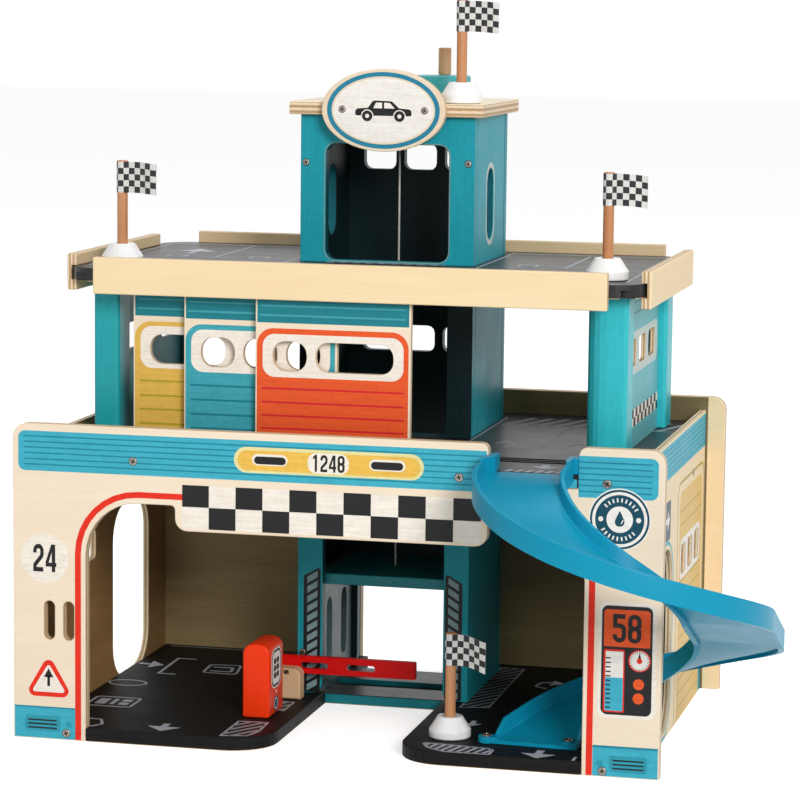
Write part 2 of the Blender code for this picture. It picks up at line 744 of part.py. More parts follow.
def doors():
    colours = {"door_front": ORANGE, "door_middle": SKY, "door_rear": YELLOW}
    window_z = tuple(DECK_TOP + rise for rise in DOOR_WINDOW_Z)
    for index, (name, (from_post, windows)) in enumerate(DOORS.items()):
        left = NARROW_POST_W - POST_X + from_post
        y = DOOR_FIRST_Y + index * DOOR_PITCH
        outline = rectangle((left, left + DOOR_W), (DECK_TOP - DOOR_SINK, TOP_DECK_Z + DOOR_RISE))
        spans = cells(left + DOOR_WINDOW_MARGIN, left + DOOR_W - DOOR_WINDOW_MARGIN, DOOR_WINDOW_BAR)
        holes = [rectangle((spans[a][0], spans[b][1]), window_z, DOOR_WINDOW_R) for a, b in windows]
        plate(name, "XZ", y, DOOR_T, outline, holes, colours[name], edge=GAP)


def ramp_length():
    bends = RAMP_R * (2 * math.pi - math.radians(RAMP_END_ANGLE))
    return -RAMP_FRONT_Y - GAP + bends + RAMP_REAR_Y - RAMP_FRONT_Y


def ramp_station(along):
    """Middle point and outward direction of the ramp at a distance along it, in plan."""
    lead = -RAMP_FRONT_Y - GAP
    half_turn = math.pi * RAMP_R
    run = RAMP_REAR_Y - RAMP_FRONT_Y
    if along < lead:
        return RAMP_X - RAMP_R, -GAP - along, Vector((-1.0, 0.0))
    if along < lead + half_turn:
        angle = math.pi + (along - lead) / RAMP_R
        centre = RAMP_FRONT_Y
    elif along < lead + half_turn + run:
        return RAMP_X + RAMP_R, RAMP_FRONT_Y + along - lead - half_turn, Vector((1.0, 0.0))
    else:
        angle = (along - lead - half_turn - run) / RAMP_R
        centre = RAMP_REAR_Y
    out = Vector((math.cos(angle), math.sin(angle)))
    return RAMP_X + RAMP_R * out.x, centre + RAMP_R * out.y, out


def ramp_height(along):
    """Height of the driving surface: it leaves level, falls steadily and runs out level."""
    total = ramp_length()
    slope = (RAMP_TOP - RAMP_END) / (total - RAMP_EASE_IN / 2 - RAMP_EASE_OUT / 2)
    if along < RAMP_EASE_IN:
        return RAMP_TOP - slope * along ** 2 / (2 * RAMP_EASE_IN)
    if along > total - RAMP_EASE_OUT:
        return RAMP_END + slope * (total - along) ** 2 / (2 * RAMP_EASE_OUT)
    return RAMP_TOP - slope * (along - RAMP_EASE_IN / 2)


def wall_height(left_over, margin):
    """The walls drop to their screw ears at the outlet."""
    share = (left_over - margin) / RAMP_END_SLOPE
    return RAMP_WALL_UP * min(1.0, max(RAMP_END_WALL, share))


def ramp_section(rib, inner_up, outer_up):
    """Channel section of across and up, walls drafted, ribs below the floor under both walls."""
    half = RAMP_WIDTH / 2
    inner = half - RAMP_WALL
    under = -RAMP_FLOOR
    draft = RAMP_DRAFT / RAMP_WALL_UP
    return [
        (-half, inner_up), (-half, under - rib), (-inner, under - rib), (-inner, under),
        (inner, under), (inner, under - rib), (half, under - rib), (half, outer_up),
        (inner + draft * outer_up, outer_up), (inner, RAMP_FILLET), (inner - RAMP_FILLET, 0.0),
        (-inner + RAMP_FILLET, 0.0), (-inner, RAMP_FILLET), (-inner - draft * inner_up, inner_up),
    ]


def ramp_stations(total):
    """Even steps, and the places where the walls start to drop and end."""
    spots = [total * step / RAMP_STATIONS for step in range(RAMP_STATIONS + 1)]
    for margin in EAR_BACK:
        spots += [total - margin - share * RAMP_END_SLOPE for share in (RAMP_END_WALL, 1.0)]
    return sorted(spots)


def jaw(name, side):
    """The end of a wall at the inlet, thickened to fill the notch and standing on the deck."""
    outer = LEAD_X + side * (RAMP_WIDTH / 2 - GAP)
    root = LEAD_X + side * (RAMP_WIDTH - RAMP_WALL) / 2
    inner = LEAD_X + side * (RAMP_WIDTH / 2 - RAMP_WALL)
    behind_start = -2 * GAP
    face = NOTCH[side > 0] - side * GAP
    inside = side * (min(side * face - JAW_W, side * inner) - JAW_BULGE)
    corners = [
        (outer, -JAW_LEAD), (root, -JAW_LEAD), (inside, -JAW_W), (inside, JAW_REACH, JAW_CORNER),
        (face, JAW_REACH, JAW_CORNER), (face, behind_start), (outer, behind_start),
    ]
    height = RAMP_WALL_UP + JAW_RISE + 1.0
    tool = as_tool(plate(name, "XY", RAMP_TOP - 1.0, height, rounded(corners), [], RAMP_BLUE, edge=1.0))
    wide = (NOTCH[0] - JAW_W, NOTCH[1] + JAW_W)
    below_deck_top = (RAMP_TOP - height, DECK_TOP + GAP)
    cut(tool, cutter(name + "_foot", wide, (behind_start, PLY + JAW_REACH), below_deck_top))
    return tool


def ramp():
    """The moulded channel: sections set square to the path, with jaws at the inlet and screw ears."""
    build = bmesh.new()
    total = ramp_length()
    rings = []
    for along in ramp_stations(total):
        x, y, out = ramp_station(along)
        height = ramp_height(along)
        left_over = total - along
        rib = RAMP_RIB * min(1.0, left_over / RAMP_RIB_FADE)
        rib = max(0.0, min(rib, height - RAMP_FLOOR - PLY - GAP))
        inner_up, outer_up = wall_height(left_over, EAR_BACK[1]), wall_height(left_over, EAR_BACK[0])
        ring = []
        for across, up in ramp_section(rib, inner_up, outer_up):
            spot = Vector((x + out.x * across, y + out.y * across, height + up))
            ring.append(build.verts.new(spot * MM))
        rings.append(ring)
    count = len(rings[0])
    for ring, following in zip(rings, rings[1:]):
        for index in range(count):
            after = (index + 1) % count
            build.faces.new((ring[index], ring[after], following[after], following[index]))
    build.faces.new(rings[0])
    build.faces.new(list(reversed(rings[-1])))
    bmesh.ops.remove_doubles(build, verts=build.verts, dist=0.00001)
    bmesh.ops.recalc_face_normals(build, faces=build.faces)
    mesh = bpy.data.meshes.new("ramp")
    build.to_mesh(mesh)
    build.free()
    channel = add("ramp", mesh, (0.0, 0.0, 0.0), RAMP_BLUE, 0.35, smooth=True)
    combine(channel, jaw("jaw_left", -1), "UNION")
    combine(channel, jaw("jaw_right", 1), "UNION")
    low = PLY + GAP + 0.1
    half = RAMP_WIDTH / 2
    sides = (half + EAR_OUT, EAR_IN + RAMP_WALL - half)
    for index, (back, across) in enumerate(zip(EAR_BACK, sides)):
        x, y, out = ramp_station(total - back)
        spot = (x + out.x * across, y + out.y * across, low)
        ear = rod(f"ear_{index}", spot, EAR_R, EAR_H, RAMP_BLUE)
        combine(channel, as_tool(ear), "UNION")
        hole = rod(f"ear_hole_{index}", (spot[0], spot[1], 0.0), EAR_HOLE, low + 2 * EAR_H, RAMP_BLUE)
        cut(channel, as_tool(hole))


def lift():
    """The cabin, open at the front and back, sliding in the shaft."""
    axis = pivot("lift_axis", CORD_X, CORD_Y, 0.0)
    floor_x = CABIN_X - THIN - GAP
    floor = block("lift_floor", (-floor_x, floor_x), CABIN_Y, (GAP, CABIN_BOARD), TEAL, parent=axis)
    groove_span = tuple(SHAFT_Y[0] + value for value in CABIN_GROOVE_Y)
    cut(floor, cutter("lift_floor_groove", (-CABIN_X, CABIN_X), groove_span,
                      (CABIN_BOARD - CABIN_GROOVE, CABIN_BOARD + 2.0)))
    roof_z = (CABIN_H - CABIN_BOARD, CABIN_H)
    block("lift_roof", (-floor_x, floor_x), CABIN_Y, roof_z, TEAL, parent=axis)
    half = CABIN_SLOT_W / 2
    holes = [rectangle((SHAFT_Y[0] + y - half, SHAFT_Y[0] + y + half), CABIN_SLOT_Z, CABIN_SLOT_W)
             for y in CABIN_SLOT_Y]
    for name, start in (("lift_wall_left", -CABIN_X), ("lift_wall_right", CABIN_X - THIN)):
        outline = rectangle(CABIN_Y, (GAP, CABIN_H))
        board = plate(name, "YZ", start, THIN, outline, holes, TEAL, edge=0.0)
        board.parent = axis
        board.location -= axis.location


def hoist():
    """The knob above the roof, its axle and spool below, and the cord of the lift."""
    axis = pivot("crank_axis", CRANK_X, CRANK_Y, KNOB_Z)
    bore = AXLE_R + GAP
    knob = [(0.0, KNOB_H), (KNOB_R - 1.0, KNOB_H), (KNOB_R, KNOB_H - 1.0), (KNOB_R, 1.0),
            (KNOB_R - 1.0, 0.0), (bore, 0.0), (bore, AXLE_DEPTH), (0.0, AXLE_DEPTH)]
    turned("crank_knob", knob, (CRANK_X, CRANK_Y, KNOB_Z), TEAL, parent=axis)
    spot = (CRANK_X, CRANK_Y + HANDLE_OFFSET, KNOB_Z + KNOB_H + GAP)
    rod("crank_handle", spot, HANDLE_R, HANDLE_H, BEECH, parent=axis)
    top = KNOB_Z + AXLE_DEPTH - GAP - SPOOL_Z
    spool = [(0.0, top), (AXLE_R, top), (AXLE_R, SPOOL_H), (SPOOL_FLANGE_R, SPOOL_H),
             (SPOOL_FLANGE_R, SPOOL_H - SPOOL_FLANGE_T), (SPOOL_R, SPOOL_H - SPOOL_FLANGE_T),
             (SPOOL_R, SPOOL_FLANGE_T), (SPOOL_FLANGE_R, SPOOL_FLANGE_T), (SPOOL_FLANGE_R, 0.0), (0.0, 0.0)]
    turned("crank_spool", spool, (CRANK_X, CRANK_Y, SPOOL_Z), BEECH, parent=axis)
    bottom = CABIN_H + GAP
    top = CORD_LEAD_Z - CORD_R - GAP
    cord = add("lift_cord", cylinder_mesh(CORD_R, top - bottom, 10), (CORD_X, CORD_Y, bottom), STRING, 0.8)
    cord.data.shade_smooth()
    lead = CRANK_X - CORD_X
    spot = (CORD_X - CORD_R, CORD_Y, CORD_LEAD_Z)
    rod("cord_lead", spot, CORD_R, lead, STRING, 0.8, turn=(0.0, 90.0, 0.0))


def cord_eye():
    """A screw eye under the roof that turns the cord from the spool downwards."""
    curve = bpy.data.curves.new("cord_eye", "CURVE")
    curve.dimensions = "3D"
    curve.bevel_depth = EYE_WIRE * MM
    curve.bevel_resolution = 1
    curve.use_fill_caps = True
    spline = curve.splines.new("POLY")
    steps = 16
    points = [(0.0, ROOF_Z - GAP - CORD_LEAD_Z)]
    for step in range(steps + 1):
        angle = math.radians(90.0 + 330.0 * step / steps)
        points.append((EYE_R * math.cos(angle), EYE_R * math.sin(angle)))
    spline.points.add(len(points) - 1)
    for point, (y, z) in zip(spline.points, points):
        point.co = (0.0, y * MM, z * MM, 1.0)
    shape = bpy.data.objects.new("cord_eye_path", curve)
    bpy.context.scene.collection.objects.link(shape)
    graph = bpy.context.evaluated_depsgraph_get()
    mesh = bpy.data.meshes.new_from_object(shape.evaluated_get(graph))
    bpy.data.objects.remove(shape)
    build = bmesh.new()
    build.from_mesh(mesh)
    bmesh.ops.remove_doubles(build, verts=build.verts, dist=0.00001)
    build.to_mesh(mesh)
    build.free()
    add("cord_eye", mesh, (CORD_X + EYE_SIDE, CORD_Y, CORD_LEAD_Z), BRASS, 0.3, metal=1.0, smooth=True)


def pump():
    low, top = PLY + GAP, PLY + PUMP_H
    corners = [(PUMP_Y[0], low), (PUMP_Y[1], low), (PUMP_Y[1], top, PUMP_R), (PUMP_Y[0], top, PUMP_R)]
    plate("fuel_pump", "YZ", PUMP_X, PUMP_W, rounded(corners), [], ORANGE, edge=1.2)


def barrier():
    """A block on the ground board with an arm that swings up on a pin behind it."""
    low = PLY + GAP
    top = PLY + BARRIER_H
    pin_x = BARRIER_X[0] + ARM_TAIL + ARM_INSET
    pin_z = ARM_Z + ARM_PIVOT
    bore = 2 * (PIN_R + GAP)
    hole = ellipse(bore, bore, 20, (pin_x, pin_z))
    corners = [(BARRIER_X[0], low), (BARRIER_X[1], low), (BARRIER_X[1], top, BARRIER_R),
               (BARRIER_X[0], top, BARRIER_R)]
    plate("barrier_post", "XZ", BARRIER_Y, BARRIER_D, rounded(corners), [hole], BEECH, edge=1.0)
    arm_y = BARRIER_Y + BARRIER_D + GAP
    axis = pivot("barrier_axis", pin_x, arm_y + ARM_T / 2, pin_z)
    left = pin_x - ARM_TAIL
    slot_z = tuple(ARM_Z + rise for rise in ARM_SLOT_Z)
    slots = [rectangle((left + a, left + b), slot_z, ARM_H) for a, b in ARM_SLOTS]
    outline = rectangle((left, left + ARM_L), (ARM_Z, ARM_Z + ARM_H), 1.0)
    arm = plate("barrier_arm", "XZ", arm_y, ARM_T, outline, [hole, *slots], RED, edge=GAP)
    arm.parent = axis
    arm.location -= axis.location
    length = BARRIER_D + ARM_T + 3 * GAP
    pin = [(0.0, length), (PIN_R, length), (PIN_R, 0.0), (PIN_HEAD_R, 0.0), (PIN_HEAD_R, -PIN_HEAD_T),
           (0.0, -PIN_HEAD_T)]
    nail = turned("barrier_pin", pin, (pin_x, arm_y + ARM_T + GAP, pin_z), BRASS, 0.3, sides=16)
    nail.rotation_euler = (math.radians(90.0), 0.0, 0.0)


def cloth_outline():
    """A strip folded round the pole, both layers glued, waving a little towards its free end."""
    inner = FLAG_POLE_R + GAP
    outer = inner + CLOTH_T / 2
    start = math.asin(CLOTH_T / 2 / outer)
    arcs = 14
    loop = [Vector((outer * math.cos(start + (2 * math.pi - 2 * start) * step / arcs),
                    outer * math.sin(start + (2 * math.pi - 2 * start) * step / arcs)))
            for step in range(arcs + 1)]
    runs = 10
    near = outer * math.cos(start)
    upper, lower = [], []
    for step in range(1, runs + 1):
        share = step / runs
        x = near + (CLOTH_L - near) * share
        bend = CLOTH_WAVE * share * math.sin(2.2 * math.pi * share)
        lower.append(Vector((x, bend - CLOTH_T / 2)))
        upper.append(Vector((x, bend + CLOTH_T / 2)))
    hole = ellipse(2 * inner, 2 * inner, 20)
    return loop + lower + list(reversed(upper)), hole


def flags():
    """Four flags on turned feet that stand freely and lift off."""
    top_x = TOP_DECK_X - FLAG_TOP_INSET[0]
    top_y = TOP_DECK_Y[0] + FLAG_TOP_INSET[1]
    spots = {
        "flag_left": (-top_x, top_y, TOP_DECK_TOP),
        "flag_right": (top_x, top_y, TOP_DECK_TOP),
        "flag_roof": (ROOF_X - FLAG_ROOF_INSET[0], ROOF_Y[0] + FLAG_ROOF_INSET[1], ROOF_TOP),
        "flag_ground": (LANE_X + FLAG_GROUND_INSET[0], FLAG_GROUND_INSET[1], PLY),
    }
    bore = FLAG_POLE_R + GAP
    foot = [(0.0, FLAG_BASE_H - FLAG_BORE), (bore, FLAG_BASE_H - FLAG_BORE), (bore, FLAG_BASE_H),
            (FLAG_BASE_TOP_R - 1.0, FLAG_BASE_H), (FLAG_BASE_TOP_R, FLAG_BASE_H - 1.0),
            (FLAG_BASE_R - 1.6, FLAG_BASE_RIM + 1.2), (FLAG_BASE_R, FLAG_BASE_RIM - 1.0),
            (FLAG_BASE_R, 0.0), (0.0, 0.0)]
    for name, (x, y, level) in spots.items():
        z = level + GAP
        axis = pivot(name + "_axis", x, y, z)
        turned(name + "_base", foot, (x, y, z), WHITE, 0.3, parent=axis)
        low = FLAG_BASE_H - FLAG_BORE + GAP
        rod(name + "_pole", (x, y, z + low), FLAG_POLE_R, FLAG_POLE_H - low, BEECH, parent=axis)
        outline, hole = cloth_outline()
        cloth = plate(name + "_cloth", "XY", z + FLAG_POLE_H - CLOTH_H - CLOTH_T, CLOTH_H, outline, [hole],
                      WHITE, 0.8, edge=0.0)
        cloth.parent = axis
        cloth.location += Vector((x, y, 0.0)) * MM - axis.location
        cloth.rotation_euler = (0.0, 0.0, math.radians(FLAG_HEADINGS[name]))


front_panel()
back_panel()
side_panel("side_panel_left", -SIDE_X, True)
side_panel("side_panel_right", SIDE_X - THIN, False)
ground_board("ground_board_left", -1.0)
ground_board("ground_board_right", 1.0)
middle_deck()
top_deck()
tower()
posts()
storey_walls()
fascias()
doors()
ramp()
lift()
hoist()
cord_eye()
pump()
barrier()
flags()
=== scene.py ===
"""Looks of the wooden toy garage: finishes, prints, screws, the moulded ramp and the cloth flags."""
import json
import math

import bmesh
import bpy
from mathutils import Matrix, Vector
from mathutils.geometry import tessellate_polygon

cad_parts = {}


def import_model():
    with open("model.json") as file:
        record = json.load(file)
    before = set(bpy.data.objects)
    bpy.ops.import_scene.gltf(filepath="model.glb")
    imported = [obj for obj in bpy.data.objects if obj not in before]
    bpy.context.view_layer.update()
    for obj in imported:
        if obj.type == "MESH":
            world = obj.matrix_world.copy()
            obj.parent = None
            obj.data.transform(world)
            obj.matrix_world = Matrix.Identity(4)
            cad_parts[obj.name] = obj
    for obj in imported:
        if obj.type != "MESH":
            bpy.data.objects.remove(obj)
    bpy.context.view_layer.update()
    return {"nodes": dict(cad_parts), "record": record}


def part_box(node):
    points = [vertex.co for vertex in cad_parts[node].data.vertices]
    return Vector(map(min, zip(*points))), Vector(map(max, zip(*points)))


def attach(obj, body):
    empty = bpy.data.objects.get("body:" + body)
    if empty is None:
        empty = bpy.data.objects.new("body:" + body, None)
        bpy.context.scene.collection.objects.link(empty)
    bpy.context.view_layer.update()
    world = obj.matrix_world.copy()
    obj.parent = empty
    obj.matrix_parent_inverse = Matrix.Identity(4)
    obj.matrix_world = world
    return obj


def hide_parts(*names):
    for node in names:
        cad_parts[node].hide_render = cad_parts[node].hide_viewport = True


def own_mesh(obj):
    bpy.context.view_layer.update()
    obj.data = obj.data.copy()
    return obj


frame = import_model()
NODES = frame["nodes"]
BODY = {node: body for body, nodes in frame["record"]["behaviour"]["bodies"].items() for node in nodes}
MM = 0.001
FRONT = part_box("front_panel")
ORIGIN = Vector(((FRONT[0].x + FRONT[1].x) / 2, FRONT[0].y, 0))
HALF_W = (FRONT[1].x - FRONT[0].x) / 2 / MM

# Camera, solved from the photograph: place in millimetres, turns in degrees
CAMERA_SPOT = (476.5, -2045.4, 497.4)
CAMERA_AZIMUTH = 13.415
CAMERA_DOWN = 7.399
CAMERA_ROLL = 0.637
CAMERA_LENS = 144.75

# Studio: metres and watts; each lamp has its place, the side of its square and its power
ROOM = 12
FLOOR_GREY = 0.78
FLOOR_GLOW = 0.6
SKY = 0.36
LAMP_AIM = (0, 0, 0.2)
LAMPS = (("key", (1.8, -2.85, 1.5), 1.1, 82), ("fill", (-1.9, -1.9, 1.3), 1.6, 5), ("top", (0.2, 0.5, 2.6), 1.6, 19))

# Woods, a light and a dark tone each; all colours are linear
BIRCH = (0.94, 0.80, 0.625), (0.86, 0.70, 0.51)
RAW = (0.80, 0.60, 0.37), (0.60, 0.40, 0.21)
EDGE = (0.88, 0.71, 0.48), (0.50, 0.32, 0.17)
DOOR_EDGE = (0.90, 0.76, 0.55), (0.62, 0.42, 0.24)
# Painted shade: raw wood darkened for the faces inside the house; the second, darker still, for the right half of the
# back panel's inner face
INSIDE_SHADE = (0.46, 0.345, 0.165), (0.30, 0.215, 0.095)
INSIDE_RIGHT_SHADE = (0.21, 0.165, 0.075), (0.135, 0.10, 0.042)
FLANK = (0.93, 0.73, 0.47), (0.86, 0.64, 0.37)
SIDE = (0.93, 0.76, 0.51), (0.86, 0.67, 0.42)
# Painted shade: raw wood darkened for the side panels' inner faces
SIDE_INSIDE_SHADE = (0.42, 0.235, 0.095), (0.25, 0.13, 0.045)
# Painted shade: raw wood darkened for the deck edges and the groove in the lift floor
GROOVE_SHADE = (0.085, 0.05, 0.026), (0.045, 0.025, 0.012)
ROOF = (0.95, 0.84, 0.65), (0.88, 0.745, 0.55)
FASCIA = (0.95, 0.765, 0.485), (0.87, 0.655, 0.38)
# Painted shade: the fascia wood darkened for the back and left fascias
FASCIA_SHADED = (0.78, 0.60, 0.37), (0.69, 0.50, 0.28)
SIGN = (0.90, 0.78, 0.60), (0.80, 0.62, 0.42)
POLE = (0.64, 0.31, 0.15), (0.47, 0.19, 0.075)
BEECH = (0.74, 0.44, 0.23), (0.56, 0.30, 0.14)
BARRIER = (0.80, 0.55, 0.33), (0.62, 0.38, 0.20)

# Paints, plastic, metal and cloth
TEAL = (0.012, 0.335, 0.41)
TEAL_DARK = (0.003, 0.016, 0.019)
# Painted light: a lighter teal for the outer face of the tower's right side
TEAL_LIT = (0.016, 0.375, 0.46)
# Painted shade: a dark teal for the cut edges of the tower's openings
DOORWAY_SHADE = (0.006, 0.075, 0.09)
SLOT_EDGE = (0.008, 0.13, 0.165)
# Painted light and shade: one teal paint, darker on the left posts and lighter on the right ones
POST_LEFT_SHADED = (0.014, 0.37, 0.41)
POST_RIGHT_LIT = (0.03, 0.52, 0.58)
WALL = (0.13, 0.49, 0.54)
DECK = (0.0085, 0.0085, 0.0095)
# The ground boards' black print, darker than the decks' black as painted shade
GROUND_BLACK_SHADED = (0.0038, 0.0034, 0.0034)
LIFT = (0.010, 0.235, 0.275)
LIFT_FLOOR = (0.028, 0.045, 0.048)
LIFT_WALL = (0.13, 0.205, 0.21)
KNOB = (0.05, 0.39, 0.42)
FOOT = (0.94, 0.93, 0.92)
PUMP_RED = (0.96, 0.044, 0.004)
ARM_RED = (0.74, 0.004, 0.004)
STEEL = (0.30, 0.27, 0.235)
# Painted shade: near black for the screws' cross recesses and the gaps round their heads
RECESS_SHADE = (0.03, 0.022, 0.016)
RAMP = (0.0012, 0.285, 0.45)
CORD = (0.62, 0.60, 0.55)
CLOTHS = {"cloth_light": (0.86, 0.84, 0.80), "cloth_dark": (0.022, 0.022, 0.026)}

# Printed colours
INKS = {
    "band": (0.052, 0.435, 0.565), "band_line": (0.014, 0.25, 0.34), "foot_plate": (0.03, 0.33, 0.43),
    "cream": (0.95, 0.86, 0.755), "white": (0.95, 0.89, 0.82), "black": (0.010, 0.010, 0.011),
    "red": (0.83, 0.030, 0.012), "orange": (0.85, 0.105, 0.022), "blue": (0.05, 0.385, 0.46),
    "mustard": (0.80, 0.49, 0.09), "line_on_orange": (0.68, 0.016, 0.026), "line_on_blue": (0.008, 0.21, 0.28),
    "line_on_mustard": (0.46, 0.37, 0.02), "door_band": (0.012, 0.215, 0.26), "door_stripe": (0.06, 0.36, 0.42),
    "sun": (0.87, 0.53, 0.09), "sun_rim": (0.83, 0.76, 0.36), "navy": (0.004, 0.066, 0.105),
    "deck_grey": (0.33, 0.35, 0.38), "deck_line": (0.50, 0.53, 0.59), "wall_plate": (0.62, 0.70, 0.66),
    "sign_blue": (0.02, 0.23, 0.36), "grey_teal": (0.24, 0.37, 0.39), "yellow": (0.80, 0.545, 0.195),
    "door_rim": (0.42, 0.34, 0.065), "sign_slate": (0.085, 0.13, 0.165), "rim_tan": (0.34, 0.33, 0.27)}

# Heights of the printed films over their boards
INK = 0.03
INK_STEP = 0.02

# Screw head: shares of its radius and heights; its cross in shares of the radius
HEAD = ((1.14, -0.1), (1.14, 0.06), (1, 0.08), (0.99, 0.2), (0.93, 0.336), (0.84, 0.42))
CROSS = ((0.16, 0.16), (0.16, 0.62), (-0.16, 0.62), (-0.16, 0.16), (-0.62, 0.16), (-0.62, -0.16),
         (-0.16, -0.16), (-0.16, -0.62), (0.16, -0.62), (0.16, -0.16), (0.62, -0.16), (0.62, 0.16))

# Fuel pump: its box from left to right, front to back and up, and its roundings
PUMP = (-75, -56.4, 58, 92.6, 9.3, 59.2)
PUMP_EASE = 1.4
PUMP_FOOT_R = 1.9
PUMP_SHOULDER_R = 7

# Flags: heading of the cloth in degrees, its curl and its droop; squares of the strip
FLAGS = {"flag_left": (-8, 1.5, 1.3), "flag_right": (6, -1.2, 1.6), "flag_roof": (2, 1.3, 1.3),
         "flag_ground": (-12, 1.7, 3.8)}
POLE_R = 3.5
SQUARE = 4.1
CLOTH_ROWS = 5
CLOTH_COLUMNS = 16
CLOTH_THICK = 0.36
THREAD = 0.45

# Lift cord: three twisted strands
CORD_R = 0.8
CORD_PITCH = 3.4
CORD_SIDES = 15
CORD_STEPS = 420

LOOKS = {}


# ---------------------------------------------------------------- materials

class Look:
    """A Principled material with short calls for the nodes that this scene needs."""

    def __init__(self, name, **values):
        self.made = bpy.data.materials.new(name)
        self.made.use_nodes = True
        self.nodes, self.links = self.made.node_tree.nodes, self.made.node_tree.links
        self.shader = self.nodes["Principled BSDF"]
        for key, value in values.items():
            self.feed(self.shader.inputs[key.replace("_", " ")], value)
        place = self.nodes.new("ShaderNodeTexCoord")
        self.object, self.facing = place.outputs["Object"], place.outputs["Normal"]

    def feed(self, socket, value):
        if isinstance(value, bpy.types.NodeSocket):
            self.links.new(value, socket)
        elif socket.type == "RGBA" and len(value) == 3:
            socket.default_value = (*value, 1)
        else:
            socket.default_value = value

    def part(self, vector, axis):
        node = self.nodes.new("ShaderNodeSeparateXYZ")
        self.links.new(vector, node.inputs[0])
        return node.outputs[axis]

    def math(self, operation, *values):
        node = self.nodes.new("ShaderNodeMath")
        node.operation = operation
        for socket, value in zip(node.inputs, values):
            self.feed(socket, value)
        return node.outputs[0]

    def noise(self, scale, detail=4, rough=0.55, shift=0):
        """Noise in object space; scale is in features for each metre along x, y and z."""
        spread = self.nodes.new("ShaderNodeMapping")
        self.links.new(self.object, spread.inputs["Vector"])
        spread.inputs["Scale"].default_value = scale
        spread.inputs["Location"].default_value = (shift, 1.7 * shift, 2.3 * shift)
        node = self.nodes.new("ShaderNodeTexNoise")
        self.links.new(spread.outputs[0], node.inputs["Vector"])
        node.inputs["Scale"].default_value = 1
        node.inputs["Detail"].default_value = detail
        node.inputs["Roughness"].default_value = rough
        return node.outputs[0]

    def blend(self, first, second, share):
        """The first value by its share and the second by the rest."""
        return self.math("ADD", self.math("MULTIPLY", first, share), self.math("MULTIPLY", second, 1 - share))

    def steps(self, value, low, high, least=0, most=1):
        """Maps low..high of a value to least..most, clamped."""
        node = self.nodes.new("ShaderNodeMapRange")
        for socket, number in zip(node.inputs, (value, low, high, least, most)):
            self.feed(socket, number)
        return node.outputs[0]

    def mix(self, share, first, second):
        node = self.nodes.new("ShaderNodeMix")
        node.data_type = "RGBA"
        for index, value in ((0, share), (6, first), (7, second)):
            self.feed(node.inputs[index], value)
        return node.outputs[2]

    def bump(self, height, depth):
        node = self.nodes.new("ShaderNodeBump")
        node.inputs["Distance"].default_value = depth * MM
        self.links.new(height, node.inputs["Height"])
        self.links.new(node.outputs[0], self.shader.inputs["Normal"])

    def grain(self, axis, across=900, along=30, shift=0):
        scale = [across] * 3
        scale[axis] = along
        return self.noise(scale, 5, 0.6, shift)


def timber(woods, grain=0, contrast=1):
    """Fine streaks along the grain over broad figure, between a light and a dark tone."""
    light, dark = woods

    def tone(look):
        both = look.blend(look.grain(grain), look.grain(grain, 70, 7, 3.1), 0.45)
        half = 0.22 / contrast
        return look.mix(look.steps(both, 0.5 - half, 0.5 + half), dark, light)
    return tone


def tint(colour, grain=0, spread=0.16):
    """A printed or painted colour with the wood's streaks faintly in it and a fine mottle."""
    deep = tuple(value * (1 - spread) for value in colour)
    pale = tuple(min(1, value * (1 + 0.5 * spread) + 0.012 * spread) for value in colour)

    def tone(look):
        both = look.blend(look.grain(grain, 800, 40, 1.3), look.noise((260,) * 3, 3, 0.6, 5), 0.6)
        return look.mix(look.steps(both, 0.32, 0.68), deep, pale)
    return tone


def plies(axis, low, layer, woods=EDGE):
    """The layers of plywood at a cut edge, across the thickness axis from low, in millimetres."""
    def tone(look):
        place = look.math("SUBTRACT", look.part(look.object, axis), low * MM)
        wave = look.math("PINGPONG", look.math("DIVIDE", place, layer * MM), 1)
        ragged = look.math("MULTIPLY", look.math("SUBTRACT", look.noise((420,) * 3), 0.5), 0.5)
        return look.mix(look.steps(look.math("ADD", wave, ragged), 0.35, 0.62), *woods)
    return tone


def board(axis, low, high, edge):
    """One tone for each flat side of a board and one for its edges, told apart by the normal."""
    def tone(look):
        towards = look.part(look.facing, axis)
        under = look.math("LESS_THAN", towards, -0.7)
        over = look.math("GREATER_THAN", towards, 0.7)
        return look.mix(over, look.mix(under, edge(look), low(look)), high(look))
    return tone


def plank(node, axis, low, high, layer, woods=EDGE):
    """A plywood board: a tone for each flat side and its layers at the edges."""
    return board(axis, low, high, plies(axis, side(node, axis, 0), layer, woods))


def above(level, lower, upper, axis=2, mirrored=False):
    """One tone up to a level along an axis and another past it, or past it on both sides of the middle."""
    def tone(look):
        place = look.math("SUBTRACT", look.part(look.object, axis), ORIGIN[axis])
        if mirrored:
            place = look.math("ABSOLUTE", place)
        return look.mix(look.math("GREATER_THAN", place, level * MM), lower(look), upper(look))
    return tone


def beyond(axis, level, inner, outer):
    return above(level, inner, outer, axis, True)


def coat(name, tone, rough=(0.42, 0.55), depth=0.03, grain=None, gloss=0.28, **values):
    """A finished material: colour from its tone, roughness and relief from its own fine noise."""
    look = Look(name, Specular_IOR_Level=gloss, **values)
    look.links.new(tone(look), look.shader.inputs["Base Color"])
    relief = look.noise((700,) * 3, 4, 0.6) if grain is None else look.grain(grain, 1100, 60, 7.7)
    even = look.blend(relief, look.noise((45,) * 3, 3, 0.6, 9), 0.5)
    look.links.new(look.steps(even, 0.3, 0.7, *rough), look.shader.inputs["Roughness"])
    look.bump(relief, depth)
    LOOKS[name] = look.made


# ---------------------------------------------------------------- places, outlines and pieces

def world(point):
    """A point in millimetres of the house: from its middle, its front face and the floor."""
    return ORIGIN + Vector(point) * MM


def side(node, axis, end):
    """One end of a node along an axis, in millimetres of the house."""
    return (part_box(node)[end][axis] - ORIGIN[axis]) / MM


